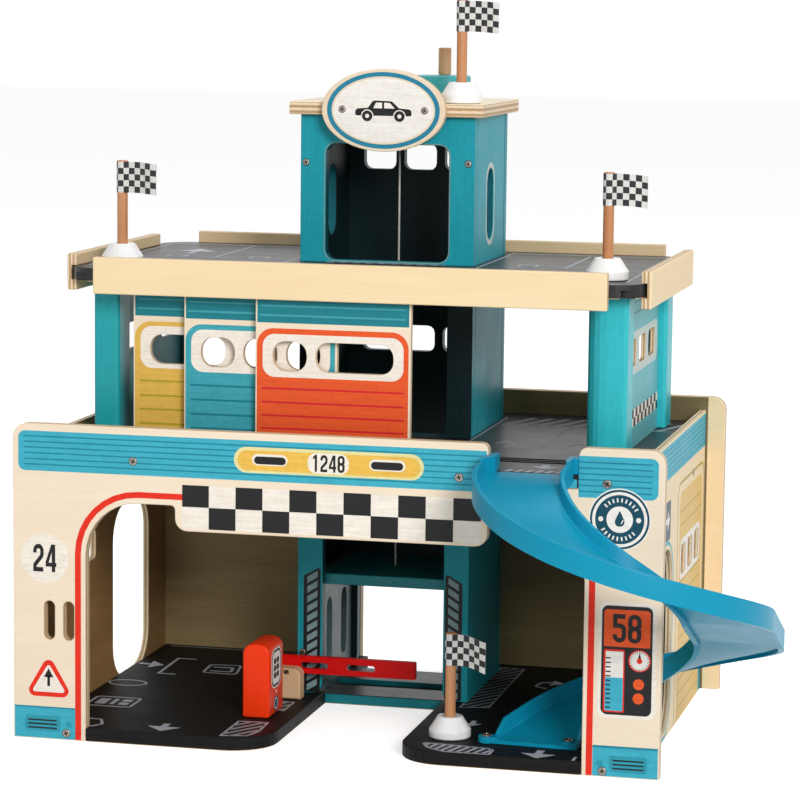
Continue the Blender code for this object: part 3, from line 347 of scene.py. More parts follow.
def span(node, axis):
    return side(node, axis, 0), side(node, axis, 1)


def middle(node):
    """The middle of a node in plan."""
    return [sum(span(node, axis)) / 2 for axis in (0, 1)]


def inside(point, loop):
    """Whether a point lies in an outline."""
    u, v = point
    within = False
    for (u0, v0), (u1, v1) in zip(loop, loop[1:] + loop[:1]):
        if (v0 > v) != (v1 > v) and u < u0 + (u1 - u0) * (v - v0) / (v1 - v0):
            within = not within
    return within


def area(loop):
    return sum(a[0] * b[1] - b[0] * a[1] for a, b in zip(loop, loop[1:] + loop[:1])) / 2


class Face:
    """A flat side of a node; u and v run along the other two axes, in millimetres of the house."""

    def __init__(self, node, towards, shift=0, flip=None):
        self.node = node
        self.axis = "XYZ".index(towards[1])
        self.sign = 1 if towards[0] == "+" else -1
        self.level = side(node, self.axis, self.sign > 0)
        self.run = [axis for axis in range(3) if axis != self.axis]
        self.shift = shift
        self.flip = flip
        self.holes = self.openings()

    def spot(self, u, v, proud=0):
        point = [0] * 3
        point[self.axis] = self.level + self.sign * proud
        point[self.run[0]] = self.flip - u if self.flip else u + self.shift
        point[self.run[1]] = v
        return world(point)

    def openings(self):
        """Outlines of the openings in this side, from the node's own mesh."""
        edges = set()
        mesh = NODES[self.node].data
        keys = [tuple(round(value / MM * 100) for value in vertex.co - ORIGIN) for vertex in mesh.vertices]
        level = round(self.level * 100)
        for polygon in mesh.polygons:
            points = [keys[index] for index in polygon.vertices]
            if all(abs(point[self.axis] - level) < 2 for point in points):
                edges.update(zip(points, points[1:] + points[:1]))
        rim = {a: b for a, b in edges if (b, a) not in edges}
        loops = []
        while rim:
            start, after = rim.popitem()
            loop = [start]
            while after != start and after in rim:
                loop.append(after)
                after = rim.pop(after)
            flat = [(point[self.run[0]] / 100, point[self.run[1]] / 100) for point in loop]
            loops.append([((self.flip - u if self.flip else u - self.shift), v) for u, v in flat])
        loops.sort(key=lambda loop: -abs(area(loop)))
        return loops[1:]


def arc(before, corner, after, radius, steps=8):
    """Points that round a corner off."""
    corner = Vector(corner)
    to_before, to_after = ((Vector(other) - corner).normalized() for other in (before, after))
    half = math.acos(max(-1, min(1, to_before.dot(to_after)))) / 2
    reach = radius / math.tan(half)
    start, end = corner + to_before * reach, corner + to_after * reach
    centre = corner + (to_before + to_after).normalized() * (radius / math.sin(half))
    first, last = start - centre, end - centre
    swing = first.angle(last)
    turned = 1 if first.x * last.y - first.y * last.x > 0 else -1
    points = []
    for step in range(steps + 1):
        angle = turned * swing * step / steps
        points.append((centre.x + first.x * math.cos(angle) - first.y * math.sin(angle),
                       centre.y + first.x * math.sin(angle) + first.y * math.cos(angle)))
    return points


def poly(*corners, closed=True):
    """An outline through corners of (u, v) or (u, v, radius)."""
    points = []
    for index, corner in enumerate(corners):
        rounded = len(corner) > 2 and corner[2] > 0 and (closed or 0 < index < len(corners) - 1)
        if rounded:
            before, after = corners[index - 1], corners[(index + 1) % len(corners)]
            points += arc(before[:2], corner[:2], after[:2], corner[2])
        else:
            points.append(tuple(corner[:2]))
    return points


def box(u0, u1, v0, v1, radius=0):
    radii = radius if isinstance(radius, tuple) else (min(radius, (u1 - u0) / 2.001, (v1 - v0) / 2.001),) * 4
    return poly((u0, v0, radii[0]), (u1, v0, radii[1]), (u1, v1, radii[2]), (u0, v1, radii[3]))


def disc(u, v, radius, high=None, steps=56):
    high = high or radius
    return [(u + radius * math.cos(2 * math.pi * step / steps), v + high * math.sin(2 * math.pi * step / steps))
            for step in range(steps)]


def bar(u, v, angle, length, width):
    """A thin rectangle round a point, turned by an angle in degrees."""
    turn = math.radians(angle)
    along = Vector((math.cos(turn), math.sin(turn))) * length / 2
    across = Vector((-math.sin(turn), math.cos(turn))) * width / 2
    return [(u + a * along.x + b * across.x, v + a * along.y + b * across.y)
            for a, b in ((-1, -1), (1, -1), (1, 1), (-1, 1))]


def stroke(width, *corners):
    """The outline of a line of some width through corners, which may be rounded."""
    points = [Vector(point) for point in poly(*corners, closed=False)]
    left, right = [], []
    for index, point in enumerate(points):
        before = (point - points[index - 1]).normalized() if index else None
        after = (points[index + 1] - point).normalized() if index < len(points) - 1 else None
        ahead = ((before or after) + (after or before)).normalized()
        square = Vector((-ahead.y, ahead.x))
        stretch = 1 / max(0.4, square.dot(Vector((-(after or before).y, (after or before).x))))
        left.append(tuple(point + square * width / 2 * stretch))
        right.append(tuple(point - square * width / 2 * stretch))
    return left + right[::-1]


def both(loops, about=0):
    """Outlines and their mirror images about a vertical line."""
    return [*loops, *([(2 * about - u, v) for u, v in loop] for loop in loops)]


def film(build, loops, low, high):
    """A closed plate between two placings of the same outline and holes."""
    triangles = tessellate_polygon([[Vector((u, v, 0)) for u, v in loop] for loop in loops])
    points = [point for loop in loops for point in loop]
    under, over = ([build.verts.new(place(u, v)) for u, v in points] for place in (low, high))
    for triangle in triangles:
        build.faces.new([over[index] for index in triangle])
        build.faces.new([under[index] for index in reversed(triangle)])
    start = 0
    for loop in loops:
        count = len(loop)
        for index in range(count):
            a, b = start + index, start + (index + 1) % count
            build.faces.new((under[a], under[b], over[b], over[a]))
        start += count


def skin(build, rings, caps=True, materials=None):
    """Faces between rings; a ring of one corner closes to a point."""
    for band, (low, high) in enumerate(zip(rings, rings[1:])):
        count = max(len(low), len(high))
        for a in range(count):
            b = (a + 1) % count
            corners = (low if len(low) == 1 else [low[a], low[b]]) + (high if len(high) == 1 else [high[b], high[a]])
            build.faces.new(corners).material_index = materials[band] if materials else 0
    if caps:
        build.faces.new(rings[0][::-1]).material_index = materials[0] if materials else 0
        build.faces.new(rings[-1]).material_index = materials[-1] if materials else 0


def placed(name, data):
    """A new object in the scene."""
    item = bpy.data.objects.new(name, data)
    bpy.context.scene.collection.objects.link(item)
    return item


def as_object(build, name):
    """Turns a bmesh into an object, with its faces outwards."""
    bmesh.ops.recalc_face_normals(build, faces=build.faces)
    mesh = bpy.data.meshes.new(name)
    build.to_mesh(mesh)
    build.free()
    return placed(name, mesh)


def piece(name, build, looks, body, smooth=None):
    """Turns a bmesh into a finished piece that rides on a body."""
    item = as_object(build, name)
    for look in looks:
        item.data.materials.append(LOOKS[look])
    if smooth is not None:
        item.data.shade_smooth()
        item.data.set_sharp_from_angle(angle=math.radians(smooth))
    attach(item, body)
    return item


def swap(node, name, build, looks, smooth=40):
    """A finished piece in the place of a CAD node."""
    item = piece(name, build, looks, BODY[node], smooth)
    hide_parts(node)
    return item


def ink(face, name, colour, shapes, layer=1):
    """One printed colour: closed films a hair above the board, left out over its openings."""
    build = bmesh.new()
    proud = INK + layer * INK_STEP
    for shape in shapes:
        outer, holes = shape if isinstance(shape, tuple) else (shape, [])
        cut = [hole for hole in face.holes
               if all(inside(point, outer) for point in hole) and not any(inside(hole[0], own) for own in holes)]
        film(build, [outer, *holes, *cut], lambda u, v: face.spot(u, v, -INK), lambda u, v: face.spot(u, v, proud))
    piece(f"{face.node}_{name}", build, [colour], BODY[face.node])


def screws(face, spots, radius=2.6):
    """Countersunk heads; their cross recess and the gap round them are dark with painted shade."""
    build = bmesh.new()
    steel, recess = 0, 1
    for number, (u, v) in enumerate(spots):
        turn = math.radians(23 + 41 * number)
        cross = [(u + radius * (a * math.cos(turn) - b * math.sin(turn)),
                  v + radius * (a * math.sin(turn) + b * math.cos(turn))) for a, b in CROSS]
        rings = [[build.verts.new(face.spot(a, b, height)) for a, b in disc(u, v, radius * share, steps=40)]
                 for share, height in HEAD]
        skin(build, rings, False, [recess, recess, steel, steel, steel])
        build.faces.new(rings[0][::-1]).material_index = recess
        upper = [build.verts.new(face.spot(a, b, HEAD[-1][1])) for a, b in cross]
        lower = [build.verts.new(face.spot(u + (a - u) * 0.6, v + (b - v) * 0.6, 0.1)) for a, b in cross]
        loops = [disc(u, v, radius * HEAD[-1][0], steps=40), cross]
        rim = rings[-1] + upper
        for triangle in tessellate_polygon([[Vector((a, b, 0)) for a, b in loop] for loop in loops]):
            build.faces.new([rim[index] for index in triangle]).material_index = steel
        skin(build, [upper, lower], False, [recess])
        build.faces.new(lower).material_index = recess
    piece(f"{face.node}_screws", build, ["steel", "recess"], BODY[face.node], smooth=35)


FIGURES = {
    "1": [poly((4, 0), (7.2, 0), (7.2, 20), (4.7, 20), (1.6, 17.6), (1.6, 14.4), (4, 15.8))],
    "2": [stroke(3.2, (1.6, 13.6), (1.6, 18.4, 3.3), (8.4, 18.4, 3.3), (8.4, 11.6, 3.5), (1.6, 4.8, 2),
                 (1.6, 1.6), (9.6, 1.6))],
    "4": [(poly((5.9, 0), (9.1, 0), (9.1, 3.9), (10.2, 3.9), (10.2, 6.8), (9.1, 6.8), (9.1, 20), (5.3, 20),
                (0, 7.4), (0, 3.9), (5.9, 3.9)), [poly((5.9, 6.8), (5.9, 14.6), (2.8, 6.8))])],
    "5": [stroke(3.2, (9.2, 18.4), (1.8, 18.4), (1.8, 11.8), (8.4, 11.8, 3), (8.4, 1.6, 3.3), (1.6, 1.6, 3.3),
                 (1.6, 5.6))],
    "8": [(poly((0, 20, 4.6), (10, 20, 4.6), (10, 11.2, 2), (9.1, 10.2), (10, 9.2, 2),
                (10, 0, 4.6), (0, 0, 4.6), (0, 9.2, 2), (0.9, 10.2), (0, 11.2, 2)),
           [box(3.2, 6.8, 2.9, 8.6, 1.8), box(3.2, 6.8, 11.6, 17.1, 1.8)])],
}


def figures(text, u0, u1, v0, v1, gap=2):
    """Plain condensed figures that fill a rectangle."""
    width = (u1 - u0) / (len(text) * 10 + (len(text) - 1) * gap)
    height = (v1 - v0) / 20
    shapes = []
    for index, figure in enumerate(text):
        left = u0 + index * (10 + gap) * width
        for shape in FIGURES[figure]:
            outer, holes = shape if isinstance(shape, tuple) else (shape, [])
            moved = [[(left + a * width, v0 + b * height) for a, b in loop] for loop in [outer, *holes]]
            shapes.append((moved[0], moved[1:]))
    return shapes


def lathe(build, profile, centre, sides=72):
    """Turns a profile of (radius, height) round a vertical axis; it starts and ends on the axis."""
    skin(build, [[build.verts.new(world((u, v, height)))
                  for u, v in (disc(*centre, radius, steps=sides) if radius else [centre])]
                 for radius, height in profile], caps=False)


def eased(profile, radius=0.6, steps=4):
    """A turned profile with its outer corners rounded off."""
    points = [profile[0]]
    for before, corner, after in zip(profile, profile[1:], profile[2:]):
        spare = min((Vector(corner) - Vector(before)).length, (Vector(after) - Vector(corner)).length) * 0.45
        bend = (Vector(before) - Vector(corner)).angle(Vector(after) - Vector(corner))
        if bend > math.radians(170) or corner[0] == 0:
            points.append(corner)
        else:
            points += arc(before, corner, after, min(radius, spare * math.tan(bend / 2)), steps)
    return points + [profile[-1]]


# ---------------------------------------------------------------- camera and studio

def camera():
    """The photograph's view, from the front right and a little above."""
    turn, down, roll = (math.radians(v) for v in (CAMERA_AZIMUTH, CAMERA_DOWN, CAMERA_ROLL))
    right = Vector((math.cos(turn), math.sin(turn), 0))
    ahead = Vector((-math.sin(turn) * math.cos(down), math.cos(turn) * math.cos(down), -math.sin(down)))
    up = right.cross(ahead)
    right, up = right * math.cos(roll) + up * math.sin(roll), up * math.cos(roll) - right * math.sin(roll)
    data = bpy.data.cameras.new("camera")
    data.lens = CAMERA_LENS
    data.sensor_width = 36
    data.clip_start = 0.1
    data.clip_end = 50
    item = placed("camera", data)
    item.matrix_world = Matrix.Translation(Vector(CAMERA_SPOT) * MM) @ Matrix((right, up, -ahead)).transposed().to_4x4()
    bpy.context.scene.camera = item


def area_light(name, spot, size, power):
    """A soft square lamp that looks at the middle of the house."""
    data = bpy.data.lights.new(name, "AREA")
    data.size = size
    data.energy = power
    item = placed(name, data)
    item.location = spot
    item.rotation_euler = (Vector(LAMP_AIM) - Vector(spot)).to_track_quat("-Z", "Y").to_euler()


def lit_and_shown(tree, lit, shown, surface):
    """Gives a surface one shader for light and one for rays that show the background."""
    path = tree.nodes.new("ShaderNodeLightPath")
    share = path.outputs["Is Camera Ray"]
    for name in ("Is Glossy Ray", "Is Transmission Ray"):
        most = tree.nodes.new("ShaderNodeMath")
        most.operation = "MAXIMUM"
        tree.links.new(share, most.inputs[0])
        tree.links.new(path.outputs[name], most.inputs[1])
        share = most.outputs[0]
    mix = tree.nodes.new("ShaderNodeMixShader")
    for value, socket in zip((share, lit.outputs[0], shown.outputs[0]), mix.inputs):
        tree.links.new(value, socket)
    tree.links.new(mix.outputs[0], surface)


def source(tree, kind, colour, strength=None):
    """A plain shader of a grey level."""
    node = tree.nodes.new(kind)
    node.inputs["Color"].default_value = (colour, colour, colour, 1)
    if strength is not None:
        node.inputs["Strength"].default_value = strength
    return node


def studio():
    """A white room: pale floor, even sky and soft lamps."""
    mesh = bpy.data.meshes.new("floor")
    mesh.from_pydata([(x * ROOM, y * ROOM, 0) for x, y in ((-1, -1), (1, -1), (1, 1), (-1, 1))], [], [(0, 1, 2, 3)])
    floor = placed("floor", mesh)
    made = bpy.data.materials.new("floor")
    made.use_nodes = True
    tree = made.node_tree
    tree.nodes.clear()
    glowing = tree.nodes.new("ShaderNodeAddShader")
    for index, shader in enumerate((source(tree, "ShaderNodeBsdfDiffuse", 1),
                                    source(tree, "ShaderNodeEmission", 1, FLOOR_GLOW))):
        tree.links.new(shader.outputs[0], glowing.inputs[index])
    out = tree.nodes.new("ShaderNodeOutputMaterial")
    lit_and_shown(tree, source(tree, "ShaderNodeBsdfDiffuse", FLOOR_GREY), glowing, out.inputs["Surface"])
    mesh.materials.append(made)
    room = bpy.data.worlds.new("room")
    bpy.context.scene.world = room
    room.use_nodes = True
    tree = room.node_tree
    lit_and_shown(tree, source(tree, "ShaderNodeBackground", 1, SKY), source(tree, "ShaderNodeBackground", 1, 1),
                  tree.nodes["World Output"].inputs["Surface"])
    for lamp in LAMPS:
        area_light(*lamp)


# ---------------------------------------------------------------- the finishes

def finishes():
    """The prints, the boards, the turned parts and the metal."""
    for name, colour in INKS.items():
        coat(name, tint(colour), (0.42, 0.58), 0.012, 0, 0.22)
    birch, raw, groove_shade = timber(BIRCH), timber(RAW), timber(GROOVE_SHADE)
    shaded_inside, cream, inner = timber(INSIDE_SHADE), timber(SIDE, 1), timber(SIDE_INSIDE_SHADE, 1)
    # The front panel's inner face is painted shade
    coat("front_panel", plank("front_panel", 1, birch, shaded_inside, 1.8), (0.40, 0.54), 0.03, 0)
    # The back panel's inner face is painted shade, darker right of the middle; its ends outside the house keep their
    # own wood
    within = above(0, shaded_inside, timber(INSIDE_RIGHT_SHADE), 0)
    coat("back_panel", plank("back_panel", 1, beyond(0, HALF_W - 12, within, timber(FLANK)), birch, 1.8),
         (0.44, 0.58), 0.03, 0)
    # The side panels' inner faces are painted shade
    for name, low, high in (("side_panel_left", cream, inner), ("side_panel_right", inner, cream)):
        coat(name, plank(name, 0, low, high, 1.3), (0.42, 0.56), 0.02, 1)
    # The ground boards' black is darker than the decks' as painted shade
    deck, ground_black_shaded = tint(DECK, 0, 0.4), tint(GROUND_BLACK_SHADED, 0, 0.4)
    # Below its top rim each deck edge is raw wood in painted shade
    cut = above(side("middle_deck", 2, 1) - 0.4, groove_shade, deck)
    coat("middle_deck", board(2, raw, cut, deck), (0.30, 0.42), 0.008, None, 0.33)
    cut = above(side("top_deck", 2, 1) - 0.4, groove_shade, deck)
    coat("top_deck", board(2, raw, beyond(0, HALF_W - 30, cut, deck), deck), (0.30, 0.42), 0.008, None, 0.33)
    for name in ("ground_board_left", "ground_board_right"):
        coat(name, board(2, raw, ground_black_shaded, ground_black_shaded), (0.50, 0.62), 0.008, None, 0.14)
    teal, dark = tint(TEAL, 2, 0.14), tint(TEAL_DARK, 2, 0.3)
    # The cut edges of the tower's openings are painted shade
    doorway_shade = beyond(0, side("tower_front", 0, 1) - 1, tint(DOORWAY_SHADE, 2, 0.3), teal)
    shade = above(side("middle_deck", 2, 1), teal, above(side("top_deck", 2, 0), dark, teal))
    slot = tint(SLOT_EDGE, 2)
    # The outer face of the tower's right side is painted light, a lighter teal than the rest
    for name, axis, low, high, edge in (
            ("tower_front", 1, shade, dark, doorway_shade), ("tower_back", 1, dark, teal, doorway_shade),
            ("tower_left", 0, teal, dark, slot), ("tower_right", 0, dark, tint(TEAL_LIT, 2, 0.14), slot)):
        coat(name, board(axis, low, high, edge), (0.38, 0.5), 0.02, 2, 0.18)
    coat("tower_roof", plank("tower_roof", 2, raw, timber(ROOF), 1.76), (0.42, 0.55), 0.03, 0)
    # The back and left fascias are painted shade, a darker copy of the fascia wood
    for name, woods, axis in (("fascia_front", FASCIA, 1), ("fascia_back", FASCIA_SHADED, 1),
                              ("fascia_left", FASCIA_SHADED, 0), ("fascia_right", FASCIA, 0)):
        face = timber(woods, 1 - axis)
        coat(name, plank(name, axis, face, face, 1.3), (0.42, 0.55), 0.03, 1 - axis)
    # The posts share one paint, painted shade on the left and painted light on the right
    for end, colour in (("left", POST_LEFT_SHADED), ("right", POST_RIGHT_LIT)):
        coat("post_" + end, tint(colour, 2, 0.12), (0.3, 0.42), 0.02, 2)
    wall = tint(WALL, 1)
    coat("wall", plank("storey_wall_right", 0, wall, wall, 1), (0.4, 0.54), 0.02, 1)
    for name in ("door_front", "door_middle", "door_rear"):
        coat(name, plank(name, 1, birch, raw, 1.25, DOOR_EDGE), (0.42, 0.55), 0.03, 0)
    coat("lift", tint(LIFT, 1, 0.14), (0.34, 0.48), 0.02, 1)
    # The groove in the lift floor is raw wood in painted shade
    cut = above(side("lift_floor", 2, 1) - 1, groove_shade, tint(LIFT_FLOOR, 1, 0.4))
    coat("lift_floor", board(2, raw, cut, tint(LIFT, 0, 0.1)), (0.30, 0.42), 0.006, None, 0.2)
    coat("lift_wall", tint(LIFT_WALL, 2, 0.15), (0.34, 0.48), 0.02, 2)
    coat("knob", tint(KNOB, 0, 0.1), (0.3, 0.42), 0.02)
    coat("beech", timber(BEECH, 2, 1.3), (0.4, 0.56), 0.05, 2)
    coat("pole", timber(POLE, 2, 1.4), (0.4, 0.56), 0.05, 2)
    coat("barrier_post", timber(BARRIER, 0, 1.2), (0.42, 0.58), 0.05, 0)
    coat("foot", tint(FOOT, 2, 0.05), (0.16, 0.28), 0.012, Coat_Weight=0.4, Coat_Roughness=0.12)
    coat("fuel_pump", tint(PUMP_RED, 2, 0.08), (0.28, 0.4), 0.02, None, 0.18)
    coat("barrier_arm", tint(ARM_RED, 0, 0.1), (0.32, 0.44), 0.02, 0, 0.16)
    coat("sign_plate", plank("sign_plate", 1, timber(SIGN), raw, 1.5), (0.4, 0.52), 0.03, 0)
    coat("steel", tint(STEEL, 0, 0.2), (0.2, 0.4), 0.01, Metallic=1)
    # The screws' recesses and gaps are painted shade
    coat("recess", tint(RECESS_SHADE, 0, 0.4), (0.5, 0.7), 0.02)
    coat("ramp", tint(RAMP, 0, 0.05), (0.32, 0.44), 0.006, None, 0.2)
    coat("cord", tint(CORD, 2, 0.3), (0.8, 0.95), 0.1)
    for name, colour in CLOTHS.items():
        look = Look(name, Sheen_Weight=0.25, Sheen_Roughness=0.5)
        threads = weave(look)
        shade = look.mix(threads, tuple(value * 0.72 for value in colour), colour)
        look.links.new(shade, look.shader.inputs["Base Color"])
        look.links.new(look.steps(look.noise((500,) * 3), 0, 1, 0.78, 0.95), look.shader.inputs["Roughness"])
        look.bump(threads, 0.12)
        LOOKS[name] = look.made
    shared = {"lift_roof": "lift", "lift_wall_left": "lift_wall", "lift_wall_right": "lift_wall",
              "storey_wall_left": "wall", "storey_wall_right": "wall", "crank_spool": "beech",
              "cord_eye": "steel", "barrier_pin": "steel", "cord_lead": "cord"}
    for node, item in NODES.items():
        look = "post_" + node.split("_")[-1] if node.startswith("post_") else shared.get(node, node)
        if look in LOOKS:
            item.data.materials[0] = LOOKS[look]


def weave(look):
    """Threads crossing over and under along the cloth and up it."""
    period = 2 * math.pi / (2 * THREAD * MM)
    along = look.math("SINE", look.math("MULTIPLY", look.part(look.object, 0), period))
    up = look.math("SINE", look.math("MULTIPLY", look.part(look.object, 2), period))
    crossing = look.math("MULTIPLY", along, up)
    uneven = look.math("MULTIPLY", look.math("SUBTRACT", look.noise((1500,) * 3), 0.5), 0.9)
    return look.steps(look.math("ADD", crossing, uneven), -0.8, 0.8)


# ---------------------------------------------------------------- the prints

def lines(u0, u1, levels, width):
    return [box(u0, u1, level - width / 2, level + width / 2) for level in levels]


def checks(u0, v0, wide, high, columns):
    """The even and the odd squares of a chequered band of two rows."""
    squares = [], []
    for column in range(columns):
        for row in range(2):
            squares[(column + row) % 2].append(box(u0 + column * wide, u0 + (column + 1) * wide,
                                                   *sorted((v0 + row * high, v0 + (row + 1) * high))))
    return squares


def bounds_of(loop):
    """Least and greatest u, and least and greatest v."""
    return [(min(values), max(values)) for values in zip(*loop)]


def front_prints():
    """Everything on the front board; u is counted from its left edge."""
    face = Face("front_panel", "-Y", -HALF_W)
    capsule, badge, dial = 213.2, (402, 165.4), (416.4, 76)
    grille = lambda u, levels: [box(u, u + 20.1, level - 0.5, level + 0.5, 0.3) for level in levels]
    around = lambda spot, reach, angles, length, width: [
        bar(spot[0] + reach * math.cos(math.radians(a)), spot[1] + reach * math.sin(math.radians(a)), a, length, width)
        for a in angles]
    ink(face, "bands", "band", [
        box(3.8, 316.4, 178.7, 204.9, (4.5, 0, 0, 4.5)), box(375.5, 426.1, 178.4, 204.7, (0, 4.5, 4.5, 0)),
        box(0.7, 42.7, 0.7, 20.8), box(387.5, 429.3, 0.7, 18.9)])
    ink(face, "band_lines", "band_line", [
        *lines(7.5, 316.2, (201.4, 197.8, 194.1, 190.4, 186.5, 182.9), 0.95),
        *lines(375.6, 422.1, (200.8, 197.1, 193.4, 189.7, 186, 182.2), 0.95),
        box(0.7, 42.7, 20.8, 21.8), box(387.5, 429.3, 18.9, 20.4)], 2)
    ink(face, "foot_plates", "foot_plate", [
        box(7.7, 32.3, 5.1, 15.8, 2), box(398.1, 422.5, 3.5, 14.2, 2), disc(38.1, 10.6, 2.2), disc(392.1, 8.8, 2.4)], 2)
    ink(face, "capsule_rim", "sun_rim", [box(150.5, 275.9, 183.9, 200.7, 8.4)], 3)
    ink(face, "capsule", "sun", [box(152.8, 273.6, 185.5, 198.6, 6.5)], 4)
    ink(face, "capsule_slots", "cream", [*both([box(162.6, 186.2, 189, 196.3, 3.65)], capsule),
                                         box(199.7, 226.7, 185.5, 198.6, 5.5)], 5)
    black, light = checks(115.8, 173.9, 17.95, -14.2, 11)
    ink(face, "checks_light", "cream", [*light, disc(21.8, 120.9, 16.4), box(389.9, 427.1, 38.4, 112.5, 5)])
    arrow = [box(23.4, 25.3, 35.6, 42.6), poly((21, 41.6), (27.7, 41.6), (24.35, 47.6))]
    ink(face, "black", "black", [
        *black, *both([box(164, 185.1, 189.8, 194.8, 2.5)], capsule),
        *figures("1248", 202.4, 224, 186.6, 197.6), *figures("24", 13.9, 29.7, 111.9, 130.2),
        box(392.1, 424.4, 40.7, 110.6, 4), *grille(9.8, (12.6, 10, 7.4)), *grille(400.4, (11.1, 8.5, 5.9)), *arrow], 6)
    arch = [poly((foot, 0.7), (foot, 167.8, 43), (end, 167.8), (end, 163.9), (foot + wide, 163.9, 39.1),
                 (foot + wide, 0.7)) for foot, end, wide in ((42.7, 115.8, 4), (387.3, 313.3, -4))]
    ink(face, "arch_line", "red", [
        *arch, poly((24.3, 57.2, 4.2), (7.6, 28.6, 4.2), (41.2, 28.6, 4.2)),
        box(393.6, 407, 42.3, 82.7, 1.2), disc(*dial, 7.1)], 7)
    ink(face, "signs", "cream", [poly((24.3, 50.9, 1.4), (12.4, 31.6, 1.4), (36.4, 31.6, 1.4))], 8)
    ink(face, "sign_arrow", "black", arrow, 9)
    ink(face, "display_orange", "orange", [
        box(393.5, 423, 84.4, 108.2, (0, 0, 2.4, 2.4)), disc(416.1, 60.9, 3.5), disc(416, 51.8, 3.5)], 7)
    ink(face, "display_white", "white", [box(394.8, 406.1, 64.6, 81.4, 0.4), disc(*dial, 6.3)], 8)
    ink(face, "display_teal", "band", [box(394.6, 406.1, 43.2, 64.6, 0.8)], 8)
    scale = [77 - step * 2.882 for step in range(12)]
    ink(face, "display_black", "black", [
        *figures("58", 399, 417.2, 87.2, 105.4, 1.4), *lines(394.9, 398.1, scale, 0.9),
        *around(dial, 5.7, range(0, 360, 15), 1.2, 0.4), poly((415.3, 77.2), (417.5, 77.2), (416.45, 81.3))], 9)
    ink(face, "display_hub", "red", [disc(*dial, 1.8)], 10)
    for name, colour, radius, layer in (("roundel", "white", 19.7, 3), ("roundel_navy", "navy", 18.9, 4),
                                        ("roundel_ring", "white", 17.5, 5), ("roundel_field", "navy", 15.6, 6)):
        ink(face, name, colour, [disc(*badge, radius)], layer)
    ink(face, "roundel_marks", "white", [
        disc(*badge, 8.4), disc(390, 165.4, 1.6), disc(414, 165.4, 1.6),
        *around(badge, 12.3, (*range(32, 149, 13), *range(212, 329, 13)), 2.6, 1)], 7)
    ink(face, "roundel_drop", "navy", [
        poly((402, 171.2, 0.3), (398.9, 164.6, 2), (399.2, 161, 2.6), (404.8, 161, 2.6), (405.1, 164.6, 2))], 8)
    ink(face, "roundel_gleam", "white", [bar(403.6, 164, 62, 2.8, 0.7)], 9)
    screws(face, [(36.3, 4.6), (82.4, 187.7), (298.7, 187.3), (393.6, 187.4), (393.9, 3.7)])
    ink(Face("middle_deck", "-Y", -HALF_W), "tongue", "band", [box(318.2, 374.4, 183.9, 189.4)])


def side_prints(node, towards, turned):
    """A side panel: the band, the roller door round the windows, the ring of the opening and a sign."""
    face = Face(node, towards, flip=turned)
    low, high = 9.6, 273.9
    ink(face, "bands", "band", [box(low, high, 175.5, 198.5), box(low, 43, 0.3, 17), box(259.5, high, 0.3, 17)])
    ink(face, "band_lines", "band_line", lines(low, high, (195.2, 192.1, 188.6, 185.1, 181.7, 178.6), 0.9), 2)
    (near, far), (bottom, top) = bounds_of(next(hole for hole in face.holes if max(v for u, v in hole) > 125))
    grown = lambda by: box(near - by, far + by, max(0.3, bottom - by), top + by, 25 + by)
    ink(face, "opening_ring", "band", [(grown(5.2), [grown(3)])])
    ink(face, "door_rim", "door_rim", [(poly((150, 0.3), (272, 0.3), (272, 166, 12), (150, 166, 12)), [
        poly((151.8, 0.6), (270.2, 0.6), (270.2, 164.2, 10.2), (151.8, 164.2, 10.2))])])
    ink(face, "door_field", "yellow", [poly((160, 0.3), (262, 0.3), (262, 158, 9), (160, 158, 9))], 3)
    beside_windows = [145 - 9.7 * step for step in range(15) if not 2 <= step <= 4]
    ink(face, "door_lines", "door_rim", lines(163, 259, beside_windows, 0.8), 4)
    ink(face, "door_plate", "white", [box(163.8, 255, 97.6, 125.4, 7)], 5)
    ink(face, "sign", "sign_slate", [box(94, 118, 134.5, 161, 3)])
    ink(face, "sign_arrow", "white", [
        poly((99, 146), (106, 146), (106, 141), (114, 148), (106, 155), (106, 150), (99, 150))], 2)
    screws(face, [(219.9, 164), (35, 164)])


def door_prints():
    """Roller doors: a dark band with pale stripes, the coloured leaf with its lines and a cream plate."""
    for name, colour, plate, levels in (
            ("door_front", "orange", (241.5, 269.7), (234, 224.9, 216.2, 207.7)),
            ("door_middle", "blue", (241.9, 270), (233.1, 223.6, 214, 204.6)),
            ("door_rear", "mustard", (242.4, 270.4), (233.8, 224.1, 214.9, 205.3))):
        face = Face(name, "-Y", side(name, 0, 0))
        ink(face, "band", "door_band", [box(1.2, 102.8, 277, 301.4)])
        ink(face, "stripes", "door_stripe", [box(2.9, 100.6, 287.6, 288.6), box(2.9, 100.6, 281.3, 282.5)], 2)
        ink(face, "leaf", colour, [poly((1, 190.6), (102.6, 190.6), (102.6, 273.4, 11), (1, 273.4, 11))])
        ink(face, "lines", "line_on_" + colour, lines(4.4, 99.9, levels, 1.25), 2)
        ink(face, "plate", "cream", [box(4.9, 99.3, *plate, 8)], 2)


def storey_prints():
    """The window plate, the chequered band and two lines on each wall of the middle storey."""
    for node, towards in (("storey_wall_right", "+X"), ("storey_wall_left", "-X")):
        face = Face(node, towards)
        ink(face, "plate", "wall_plate", [box(93, 219.5, 242.3, 270.5, 7)])
        light, black = checks(87, 207, (225.5 - 87) / 18, 5.8, 18)
        ink(face, "checks_light", "cream", light)
        ink(face, "checks_dark", "black", black)
        ink(face, "lines", "band_line", lines(87, 225.5, (290, 283), 0.9))


def arrow_mark(tip, wings, tail, width=3):
    """A painted arrow on a deck: head from wings to tip, stem to the tail."""
    neck = [sum(values) / 2 for values in zip(*wings)]
    return [poly(tip, *wings), stroke(width, neck, tail)]


